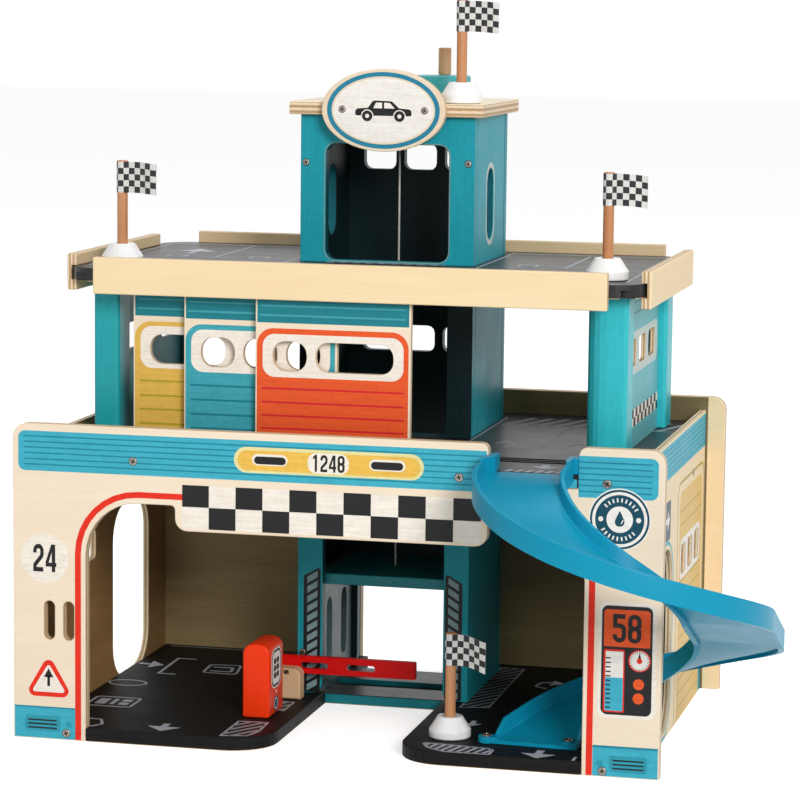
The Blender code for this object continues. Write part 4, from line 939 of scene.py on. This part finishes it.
def inset(points, by):
    """A convex outline, counter-clockwise, moved inwards."""
    moved = []
    for before, corner, after in zip(points[-1:] + points[:-1], points, points[1:] + points[:1]):
        first = (Vector(corner) - Vector(before)).normalized()
        second = (Vector(after) - Vector(corner)).normalized()
        bisector = Vector((-first.y - second.y, first.x + second.x)).normalized()
        moved.append(tuple(Vector(corner) + bisector * by / max(0.3, bisector.dot(Vector((-first.y, first.x))))))
    return moved


def ring(points, width, radius=0.6):
    """A closed painted line inside a convex outline."""
    tight = max(0.15, radius - width)
    inner = poly(*((u, v, tight) for u, v in inset(points, width)))
    return [(poly(*((u, v, radius) for u, v in points)), [inner])]


def clipped(shape, bounds):
    """The part of an outline within a convex one."""
    for start, end in zip(bounds, bounds[1:] + bounds[:1]):
        along = Vector(end) - Vector(start)
        depth = [along.x * (v - start[1]) - along.y * (u - start[0]) for u, v in shape]
        kept = []
        for index, point in enumerate(shape):
            before, level, former = shape[index - 1], depth[index], depth[index - 1]
            if (level > 0) != (former > 0):
                kept.append(tuple(Vector(before).lerp(Vector(point), former / (former - level))))
            if level > 0:
                kept.append(point)
        shape = kept
    return shape


def hatched(bounds, angle, pitch, width):
    """Slanted bars across a convex outline."""
    middle = sum((Vector(point) for point in bounds), Vector((0, 0))) / len(bounds)
    reach = max((Vector(point) - middle).length for point in bounds)
    turn = math.radians(angle)
    across = Vector((-math.sin(turn), math.cos(turn)))
    count = int(reach / pitch) + 1
    bars = [clipped(bar(*(middle + across * pitch * step), angle, 2.2 * reach, width), bounds)
            for step in range(-count, count + 1)]
    return [shape for shape in bars if len(shape) > 2 and abs(area(shape)) > 0.8]


def hatch(u0, u1, v0, v1, pitch=7, lean=5, width=2.6):
    """Slanted bars between two lines."""
    starts = [u0 + step * pitch for step in range(int((u1 - u0 - lean) / pitch) + 1)]
    return [poly((u, v0), (u + width, v0), (u + width + lean, v1), (u + lean, v1)) for u in starts]


def deck_prints():
    """Painted lanes, bays and arrows on the four driving surfaces."""
    top = Face("top_deck", "+Z")
    bays = [box(x - 0.6, x + 0.6, low, high) for x, low, high in (
        (-183.5, 60, 251), (-122.3, 150, 247), (-66, 120, 164), (66, 126, 258), (122.3, 146, 243),
        (178.3, 60, 250))]
    backs = [box(-183.5, -66, 248.4, 249.6), box(66, 178.3, 248.4, 249.6)]
    dashes = [box(-40 + 9 * step, -35.5 + 9 * step, 137, 139.6) for step in range(9)]
    arrow = arrow_mark((-151.3, 210.7), ((-160.8, 188.3), (-134.6, 190.3)), (-148.5, 172), 4)
    spots = [stroke(1.3, (x - 6, y - 6), (x - 6, y + 6), (x + 6, y + 6), (x + 6, y - 6)) for x, y in (
        (-150, 150.5), (-92.5, 155.5), (95, 157), (150, 150))]
    ink(top, "lines", "deck_line", [*bays, *backs, *dashes, *arrow, *spots, box(-42, 42, 140.8, 141.8)])
    ink(top, "hatch", "deck_grey", [*hatch(-182, -67, 250.4, 257), *hatch(68, 176, 250.4, 257)])
    floor = Face("middle_deck", "+Z")
    dash = [poly((x, 0.6), (x + 3, 0.6), (x + 5.6, 9.6), (x + 2.6, 9.6)) for x in
            (112, 118.5, 125, 131.5, 138, 144.5)]
    ink(floor, "lines", "deck_line", [
        *both([box(62.9, 64.1, 126, 251), box(115.1, 116.3, 118.6, 209), box(67, 190, 209.9, 211.1)]),
        *arrow_mark((134.4, 17.8), ((123.8, 26.4), (144.1, 27.3)), (132.8, 34), 5.2), *dash,
        *(stroke(1.3, (x - 6, y - 5), (x, y + 6), (x + 6, y - 5)) for x, y in ((88, 125.5), (137, 127)))])
    ink(floor, "hatch", "deck_grey", [*hatch(67, 190, 213, 251, 12, 14, 4.5),
                                      *hatch(-190, -67, 213, 251, 12, 14, 4.5)])
    left = Face("ground_board_left", "+Z")
    near = [(-75, 3.4), (-57, 8), (-52.6, 22.1), (-53.8, 49.7), (-75, 48.3)]
    beside = [(-61, 85.1), (-53.2, 84.9), (-53.3, 113.1), (-64, 112.9)]
    outlet = [(-189.5, 6.5), (-163, 6), (-157.5, 14.5), (-163, 28.5), (-189.5, 29.5)]
    panel = [(-189, 65), (-156, 65), (-156, 94.5), (-189, 94.5)]
    symbol = [(-142.5, 186), (-116, 184.8), (-121, 216.5), (-144.5, 214)]
    ink(left, "lines", "deck_line", [
        *arrow_mark((-115.9, 6), ((-128.6, 18.6), (-105.8, 18.2)), (-117.4, 27), 4.5),
        *ring(near, 1.9), *ring(beside, 1.6), *ring(outlet, 2, 3), *ring(panel, 1.8, 4), *ring(symbol, 1.8, 4),
        stroke(2, (-158.8, 227.3), (-172.4, 227.3), (-171.1, 175), (-158.5, 174.9)),
        stroke(2.4, (-138.5, 193), (-123, 193, 1.5), (-125, 206.5, 1.5), (-139.5, 205.5)),
        box(-184, -176.5, 72, 88, 1), box(-173.5, -170.5, 72, 88, 1), box(-167.5, -160.8, 72, 78.5, 1),
        box(-167.5, -160.8, 81.5, 88, 1), stroke(2, (-178, 26), (-166.5, 9.5)),
        *arrow_mark((-175.7, 202.2), ((-186.9, 213.4), (-184.5, 191.3)), (-194.5, 203.9), 4),
        (disc(-182.2, 139.5, 14.2, 9.5), [disc(-182.2, 139.5, 12.6, 7.9)]), box(-191, -95, 267.9, 269.1)])
    ink(left, "hatch", "deck_grey", [*hatched(inset(near, 1), 57, 6.8, 3),
                                     *hatched(inset(beside, 0.8), 57, 6.8, 3)])
    right = Face("ground_board_right", "+Z")
    front = [(57.2, 20.7), (62.4, 9.5), (75.7, 1.2), (106.1, 1.3), (106.1, 14.9), (101.9, 19.1), (60, 23.4)]
    zone = [(57.5, 128.5), (78, 132.4), (77.2, 262.2), (58.7, 263.5)]
    ink(right, "lines", "deck_line", [
        *ring(front, 2, 2), *hatched(inset(front, 1), 72, 5.3, 2.6),
        *arrow_mark((136.1, 0.9), ((123.7, 12.8), (146.6, 12.3)), (135.4, 22), 5),
        stroke(2, (104, 203), (95, 207, 4), (97, 222, 4), (107, 222)),
        poly((113, 221.5), (104.5, 229.5), (104, 213.5)),
        *arrow_mark((76, 76), ((70, 84), (83, 83.5)), (76.5, 92), 3.4), box(158.8, 160.8, 1, 11.3)])
    ink(right, "hatch", "deck_grey", [*ring(zone, 1.4), *hatched(inset(zone, 0.8), 57, 6.4, 1.7)])


def tower_prints():
    """The toothed strips beside the lift, the rims of the openings and the screws of tower and back."""
    face = Face("tower_front", "-Y")
    strip = poly((-56, 9.9, 2), (-44, 9.9, 2), (-44, 98.2, 1.6), (-56, 91.4, 1.6))
    teeth = [poly(*((u, v - 6.87 * step) for u, v in ((-46.2, 95.2), (-53.4, 90.7), (-53.4, 86.3), (-46.2, 90.8))))
             for step in range(12)]
    doorways = [loop if area(loop) > 0 else loop[::-1] for loop in face.holes if max(v for u, v in loop) > 320]
    ink(face, "doorway_rim", "rim_tan", [inset(loop, -0.45) for loop in doorways])
    ink(face, "strips", "black", both([strip]))
    ink(face, "teeth", "grey_teal", both(teeth), 2)
    screws(face, [(-56.5, 375.8), (55.9, 377.1), (-56.7, 37.6), (56.7, 37.6)], 2.2)
    for node, towards in (("tower_right", "+X"), ("tower_left", "-X")):
        wall = Face(node, towards)
        (near, far), (bottom, top) = bounds_of(wall.holes[0])
        ink(wall, "slot_rim", "wall_plate", [box(near - 2.6, far + 2.6, bottom - 3.4, top + 3.4, 13.4)])
    screws(Face("tower_back", "+Y"), [(-55.9, 377), (55.9, 377), (-55.9, 150), (55.9, 150)], 2.2)
    screws(Face("back_panel", "+Y", -HALF_W),
           [(36.3, 10), (393.7, 10), (82.4, 187.7), (347.6, 187.7), (298.7, 187.3), (131.3, 187.3)])


def sign_prints():
    """The oval on the roof: blue ring, white field and a plain toy car."""
    face = Face("sign_plate", "-Y")
    z = sum(span("sign_plate", 2)) / 2
    wheels = (-11, 11.2)
    ink(face, "ring", "sign_blue", [(disc(0, z, 38.8, 25.6, 96), [disc(0, z, 35.6, 22.7, 96)])])
    ink(face, "field", "white", [disc(0, z, 34.4, 21.5, 96)])
    ink(face, "car", "black", [
        poly((-19.5, z - 3.6, 1.4), (19.7, z - 3.6, 1.4), (19.2, z + 0.9, 2), (11, z + 1.6, 2), (6, z + 6.2, 2.4),
             (-7, z + 6.6, 2.6), (-10.5, z + 1.6, 2), (-19, z + 1, 2.4))], 2)
    ink(face, "car_windows", "white", [
        poly((-6.8, z + 1.4), (-0.8, z + 1.4), (-0.8, z + 5.2), (-5, z + 5.2)),
        poly((0.7, z + 1.4), (8, z + 1.4), (4.6, z + 5), (0.7, z + 5.2)), *(disc(u, z - 3.8, 4.3) for u in wheels)], 3)
    ink(face, "car_wheels", "black", [(disc(u, z - 3.8, 3.6), [disc(u, z - 3.8, 1.4)]) for u in wheels], 4)
    screws(face, [(-28.3, z + 0.3), (28.3, z + 0.3)], 2.2)


def pump():
    """The sawn and sanded pump block with its printed face: rounded shoulders and eased rims."""
    u0, u1, v0, v1, low, high = PUMP
    build = bmesh.new()
    rings = []
    quarter = [math.pi / 2 * step / 4 for step in range(5)]
    for end, inward, angles in ((v0, 1, quarter), (v1, -1, quarter[::-1])):
        for angle in angles:
            by = PUMP_EASE * (1 - math.sin(angle))
            v = end + inward * PUMP_EASE * (1 - math.cos(angle))
            foot, shoulder = PUMP_FOOT_R - by, PUMP_SHOULDER_R - by
            outline = box(u0 + by, u1 - by, low + by, high - by, (foot, foot, shoulder, shoulder))
            rings.append([build.verts.new(world((u, v, z))) for u, z in outline])
    skin(build, rings)
    swap("fuel_pump", "pump_block", build, ["fuel_pump"], 32)
    face = Face("fuel_pump", "+X")
    face.level = u1
    ink(face, "field_rim", "white", [box(63, 87.4, 27.4, 54.4, 8)])
    ink(face, "field", "black", [box(64, 86.4, 28.4, 53.4, 7)], 2)
    ink(face, "field_line", "white", [box(65.6, 84.8, 30, 51.8, 5.6)], 3)
    ink(face, "blocks", "black", [
        box(69 + 6.8 * column, 74.6 + 6.8 * column, 34.2 + 4.8 * row, 38 + 4.8 * row, 0.4)
        for column in range(2) for row in range(3)], 4)
    ink(face, "badge", "navy", [disc(75.2, 16.4, 5.4)])
    ink(face, "badge_mark", "white", [(disc(75.2, 16.4, 4), [disc(75.2, 16.4, 3.2)]), disc(75.2, 24.6, 1.1)], 2)


# ---------------------------------------------------------------- the ramp

RAMP_R = 65.8
RAMP_WIDTH = 57
RAMP_WALL = 3.6
RAMP_FLOOR = 2.4
RAMP_WALL_UP = 9.5
RAMP_FILLET = 1.2
RAMP_RIB = 2.6
RAMP_RIB_GAP = 0.3
RAMP_RIB_FADE = 60
RAMP_DRAFT = 0.8
RAMP_FRONT_Y = -28
RAMP_REAR_Y = 24
RAMP_START_Y = -0.3
RAMP_END_ANGLE = 4.3
RAMP_EASE_IN = 70
RAMP_EASE_OUT = 30
RAMP_STEPS = 260
RAMP_END_SLOPE = 12
RAMP_END_WALL = 0.16
RAMP_TOP_ROUND = 0.9
EAR_BACK = (2.4, 12)
EAR_R = 5.6
EAR_HOLE = 1.9
EAR_H = 4
EAR_OUT = 3.9
EAR_IN = 4.4
EAR_GAP = 0.4
JAW_LEAD = 16
JAW_REACH = 11
JAW_W = 5.2
JAW_GAP = 0.3
JAW_UNDER = 1.3
NOTCH = (102.3, 160.5)
NOTCH_FRONT = -0.6


class Route:
    """The ramp's path: level out of the notch, a full turn down, and level at the outlet."""

    def __init__(self):
        self.lead_x = side("ramp", 0, 1) - RAMP_WIDTH / 2 - 2 * RAMP_R
        self.middle_x = self.lead_x + RAMP_R
        self.top = side("middle_deck", 2, 1) + RAMP_START_Y
        self.end = side("ramp", 2, 0) + RAMP_FLOOR
        self.lead = RAMP_START_Y - RAMP_FRONT_Y
        self.half_turn = math.pi * RAMP_R
        self.run = RAMP_REAR_Y - RAMP_FRONT_Y
        self.length = self.lead + RAMP_R * (2 * math.pi - math.radians(RAMP_END_ANGLE)) + self.run

    def station(self, along):
        """Middle point and outward direction in plan."""
        if along < self.lead:
            return self.lead_x, RAMP_START_Y - along, Vector((-1, 0))
        if along < self.lead + self.half_turn:
            angle, centre = math.pi + (along - self.lead) / RAMP_R, RAMP_FRONT_Y
        elif along < self.lead + self.half_turn + self.run:
            return self.middle_x + RAMP_R, RAMP_FRONT_Y + along - self.lead - self.half_turn, Vector((1, 0))
        else:
            angle, centre = (along - self.lead - self.half_turn - self.run) / RAMP_R, RAMP_REAR_Y
        out = Vector((math.cos(angle), math.sin(angle)))
        return self.middle_x + RAMP_R * out.x, centre + RAMP_R * out.y, out

    def height(self, along):
        """Height of the driving surface."""
        slope = (self.top - self.end) / (self.length - RAMP_EASE_IN / 2 - RAMP_EASE_OUT / 2)
        if along < RAMP_EASE_IN:
            return self.top - slope * along ** 2 / (2 * RAMP_EASE_IN)
        if along > self.length - RAMP_EASE_OUT:
            return self.end + slope * (self.length - along) ** 2 / (2 * RAMP_EASE_OUT)
        return self.top - slope * (along - RAMP_EASE_IN / 2)


def wall_height(left_over, margin):
    """The walls drop to their screw ears at the outlet."""
    share = (left_over - margin) / RAMP_END_SLOPE
    return RAMP_WALL_UP * min(1, max(RAMP_END_WALL, share))


def ramp_section(rib, inner_up, outer_up):
    """Channel section of across and up, with drafted walls, rounded tops and floor fillets."""
    half = RAMP_WIDTH / 2
    inner = half - RAMP_WALL
    draft = RAMP_DRAFT / RAMP_WALL_UP
    under = -RAMP_FLOOR

    def wall(sign, up):
        crest = min(RAMP_TOP_ROUND, 0.4 * up)
        face = inner + draft * up
        fillet = min(RAMP_FILLET, 0.6 * up)
        corners = [(sign * half, up, crest), (sign * face, up, crest), (sign * inner, 0, fillet)]
        path = [(sign * half, under), *corners, (0, 0)]
        points = []
        for before, corner, after in zip(path, path[1:], path[2:]):
            points += arc(before[:2], corner[:2], after[:2], corner[2], 4)
        return points

    left, right = wall(-1, inner_up), wall(1, outer_up)
    bottom = [(half, under - rib), (inner, under - rib), (inner, under), (-inner, under), (-inner, under - rib),
              (-half, under - rib)]
    middle = [(-inner * 0.5, 0), (0, 0), (inner * 0.5, 0)]
    return left + middle + right[::-1] + bottom


def combine(item, tool, operation):
    """Joins a closed shape to another, or cuts it out."""
    step = item.modifiers.new(operation, "BOOLEAN")
    step.object = tool
    step.operation = operation
    step.solver = "EXACT"
    graph = bpy.context.evaluated_depsgraph_get()
    mesh = bpy.data.meshes.new_from_object(item.evaluated_get(graph))
    item.modifiers.clear()
    item.data = mesh
    bpy.data.objects.remove(tool)


def prism(name, outline, low, high):
    build = bmesh.new()
    film(build, [outline], lambda u, v: world((u, v, low)), lambda u, v: world((u, v, high)))
    return as_object(build, name)


def ramp():
    """The moulded channel in fine steps, with its jaws in the notch and its two screw ears."""
    route = Route()
    spots = [route.length * step / RAMP_STEPS for step in range(RAMP_STEPS + 1)]
    for margin in EAR_BACK:
        spots += [route.length - margin - share * RAMP_END_SLOPE for share in (RAMP_END_WALL, 1)]
    build = bmesh.new()
    rings = []
    floor = side("ground_board_right", 2, 1)
    for along in sorted(spots):
        x, y, out = route.station(along)
        height = route.height(along)
        left_over = route.length - along
        rib = RAMP_RIB * min(1, left_over / RAMP_RIB_FADE)
        rib = max(0, min(rib, height - RAMP_FLOOR - floor - RAMP_RIB_GAP))
        section = ramp_section(rib, wall_height(left_over, EAR_BACK[1]), wall_height(left_over, EAR_BACK[0]))
        rings.append([build.verts.new(world((x + out.x * across, y + out.y * across, height + up)))
                      for across, up in section])
    skin(build, rings, caps=False)
    build.faces.new(rings[0])
    build.faces.new(rings[-1][::-1])
    bmesh.ops.remove_doubles(build, verts=build.verts, dist=5e-6)
    channel = as_object(build, "ramp_channel")
    half = RAMP_WIDTH / 2
    deck = side("middle_deck", 2, 1)
    roots = half - JAW_GAP, half - RAMP_WALL / 2, half - RAMP_WALL
    for sign, notch in ((-1, NOTCH[0]), (1, NOTCH[1])):
        outer, root, inner = (route.lead_x + sign * across for across in roots)
        face = notch - sign * JAW_GAP
        within = sign * (min(sign * face - JAW_W, sign * inner) - 0.4)
        jaw = prism("jaw", poly((outer, -JAW_LEAD), (root, -JAW_LEAD), (within, -JAW_W, 2), (within, JAW_REACH, 2.2),
                                (face, JAW_REACH, 2.2), (face, NOTCH_FRONT), (outer, NOTCH_FRONT)),
                    deck - JAW_UNDER, deck + 10)
        combine(jaw, prism("jaw_rest", box(40, 210, NOTCH_FRONT, 40), deck - 10, deck + JAW_GAP), "DIFFERENCE")
        combine(channel, jaw, "UNION")
    low = floor + EAR_GAP
    marks = []
    for index, (back, across) in enumerate(zip(EAR_BACK, (half + EAR_OUT, EAR_IN + RAMP_WALL - half))):
        x, y, out = route.station(route.length - back)
        u, v = x + out.x * across, y + out.y * across
        marks.append((u, v))
        combine(channel, prism(f"ear_{index}", disc(u, v, EAR_R), low, low + EAR_H), "UNION")
        combine(channel, prism(f"ear_hole_{index}", disc(u, v, EAR_HOLE, steps=32), 0, low + 2 * EAR_H), "DIFFERENCE")
    mesh = channel.data
    bpy.data.objects.remove(channel)
    build = bmesh.new()
    build.from_mesh(mesh)
    swap("ramp", "ramp_moulding", build, ["ramp"], 32)
    return marks, low + EAR_H


def ear_screws(marks, level):
    """Round-headed screws on the ears."""
    build = bmesh.new()
    for u, v in marks:
        lathe(build, eased([(0, level + 0.05), (3.4, level + 0.05), (3.4, level + 0.5), (2.6, level + 1.2),
                            (1.2, level + 1.5), (1.1, level + 0.7), (0, level + 0.6)], 0.3), (u, v), 36)
    piece("ramp_screws", build, ["steel"], "garage", smooth=40)


# ---------------------------------------------------------------- turned parts, flags and cord

def turned(node, name, look, profile, ease, sides, steps=4, centre=None):
    """A turned piece in the place of a node, with its corners eased."""
    build = bmesh.new()
    lathe(build, eased(profile, ease, steps), centre or middle(node), sides)
    swap(node, name, build, [look])


def turned_parts():
    """The knob, its handle, and the feet and poles of the flags, in fine turned profiles."""
    low, high = span("crank_knob", 2)
    left, right = span("crank_knob", 0)
    radius = (right - left) / 2
    turned("crank_knob", "knob", "knob",
           [(0, low + 10), (4.5, low + 10), (4.5, low), (radius, low), (radius, high), (0, high)], 1.4, 96)
    low, high = span("crank_handle", 2)
    turned("crank_handle", "handle", "beech", [(0, low), (4.4, low), (4.4, high), (0, high)], 0.9, 48)
    for flag in FLAGS:
        low, high = span(flag + "_base", 2)
        turned(flag + "_base", flag + "_foot", "foot", [
            (0, low + 2), (3.8, low + 2), (3.8, high), (8.2, high), (12.2, low + 7.7), (13.8, low + 5.5), (13.8, low),
            (0, low)], 1.3, 80, 5)
        low, high = span(flag + "_pole", 2)
        turned(flag + "_pole", flag + "_rod", "pole", [(0, low), (POLE_R, low), (POLE_R, high), (0, high)], 0.5, 40,
               centre=middle(flag + "_base"))


def cloth_path(count):
    """Middle line of the folded strip in plan: out along one layer, round the pole and back."""
    radius = POLE_R + 0.05 + CLOTH_THICK / 2
    leave = math.radians(35)
    meet = radius / math.cos(leave)
    tangent = radius * math.tan(leave)
    whole = SQUARE * CLOTH_COLUMNS
    free = (whole - radius * 2 * (math.pi - leave) - 2 * tangent) / 2
    gap = CLOTH_THICK / 2 + 0.012
    points = []
    for step in range(count + 1):
        along = whole * step / count
        mirror = 1 if along <= whole / 2 else -1
        along = min(along, whole - along)
        if along < free:
            points.append((meet + free - along, mirror * gap, free - along))
        elif along < free + tangent:
            end = Vector((radius * math.cos(leave), radius * math.sin(leave)))
            spot = Vector((meet, gap)).lerp(end, (along - free) / tangent)
            points.append((spot.x, mirror * max(gap, spot.y), 0))
        else:
            angle = leave + (along - free - tangent) / radius
            points.append((radius * math.cos(angle), mirror * radius * math.sin(angle), 0))
    return points, free


def cloths():
    """Checked cloth strips, folded round the poles and glued, with a slack curl at the free end."""
    fine = 4
    count, rows = CLOTH_COLUMNS * fine, CLOTH_ROWS * fine
    path, free = cloth_path(count)
    for flag, (heading, curl, droop) in FLAGS.items():
        centre = middle(flag + "_base")
        low, high = span(flag + "_cloth", 2)
        turn = Matrix.Rotation(math.radians(heading), 2)
        build = bmesh.new()
        sheets = []
        for offset in (-CLOTH_THICK / 2, CLOTH_THICK / 2):
            sheet = []
            for index, (x, y, out) in enumerate(path):
                before, after = path[max(0, index - 1)], path[min(count, index + 1)]
                ahead = Vector((after[0] - before[0], after[1] - before[1])).normalized()
                share = max(0, out) / free
                column = []
                for row in range(rows + 1):
                    up = row / rows
                    wave = curl * share * math.sin(2.3 * math.pi * share * 0.8 + 0.5 * up) * (0.7 + 0.5 * up)
                    spot = turn @ Vector((x - ahead.y * offset - 0.5 * share ** 3, y + ahead.x * offset + wave))
                    column.append(build.verts.new(world((centre[0] + spot.x, centre[1] + spot.y,
                                                         low + up * (high - low) - droop * share ** 2))))
                sheet.append(column)
            sheets.append(sheet)

        def patch(corners, column, row):
            check = min(column // fine, CLOTH_COLUMNS - 1) + min(row // fine, CLOTH_ROWS - 1)
            build.faces.new(corners).material_index = (check + 1) % 2

        first, second = sheets
        for column in range(count):
            for row in range(rows):
                for sheet, order in ((first, -1), (second, 1)):
                    near, far = sheet[column], sheet[column + 1]
                    patch((near[row], far[row], far[row + 1], near[row + 1])[::order], column, row)
        for row in range(rows):
            for column in (0, count):
                one, two = first[column], second[column]
                patch((one[row], one[row + 1], two[row + 1], two[row]), column, row)
        for column in range(count):
            for row in (0, rows):
                one, two = (sheet[column:column + 2] for sheet in sheets)
                patch((one[0][row], one[1][row], two[1][row], two[0][row]), column, row)
        item = swap(flag + "_cloth", flag + "_strip", build, CLOTHS, 50)


def lift_cord():
    """The twisted cotton cord between the cabin and the spool, built at one length on a mesh of its own; on the toy it
    shortens as the cabin rises.
    """
    low, high = span("lift_cord", 2)
    centre = middle("lift_cord")
    build = bmesh.new()
    rings = []
    for step in range(CORD_STEPS + 1):
        height = low + (high - low) * step / CORD_STEPS
        twist = 2 * math.pi * (height - low) / CORD_PITCH
        ring = []
        for index in range(CORD_SIDES):
            angle = 2 * math.pi * index / CORD_SIDES
            radius = CORD_R * (0.86 + 0.14 * math.cos(3 * (angle - twist)))
            ring.append(build.verts.new(world((centre[0] + radius * math.cos(angle),
                                               centre[1] + radius * math.sin(angle), height))))
        rings.append(ring)
    skin(build, rings)
    item = swap("lift_cord", "hoist_cord", build, ["cord"], 60)
    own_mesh(item)


camera()
studio()
finishes()
front_prints()
side_prints("side_panel_right", "+X", None)
side_prints("side_panel_left", "-X", 283.5)
door_prints()
storey_prints()
deck_prints()
tower_prints()
sign_prints()
pump()
ear_screws(*ramp())
turned_parts()
cloths()
lift_cord()
bpy.context.scene.view_settings.view_transform = "Standard"
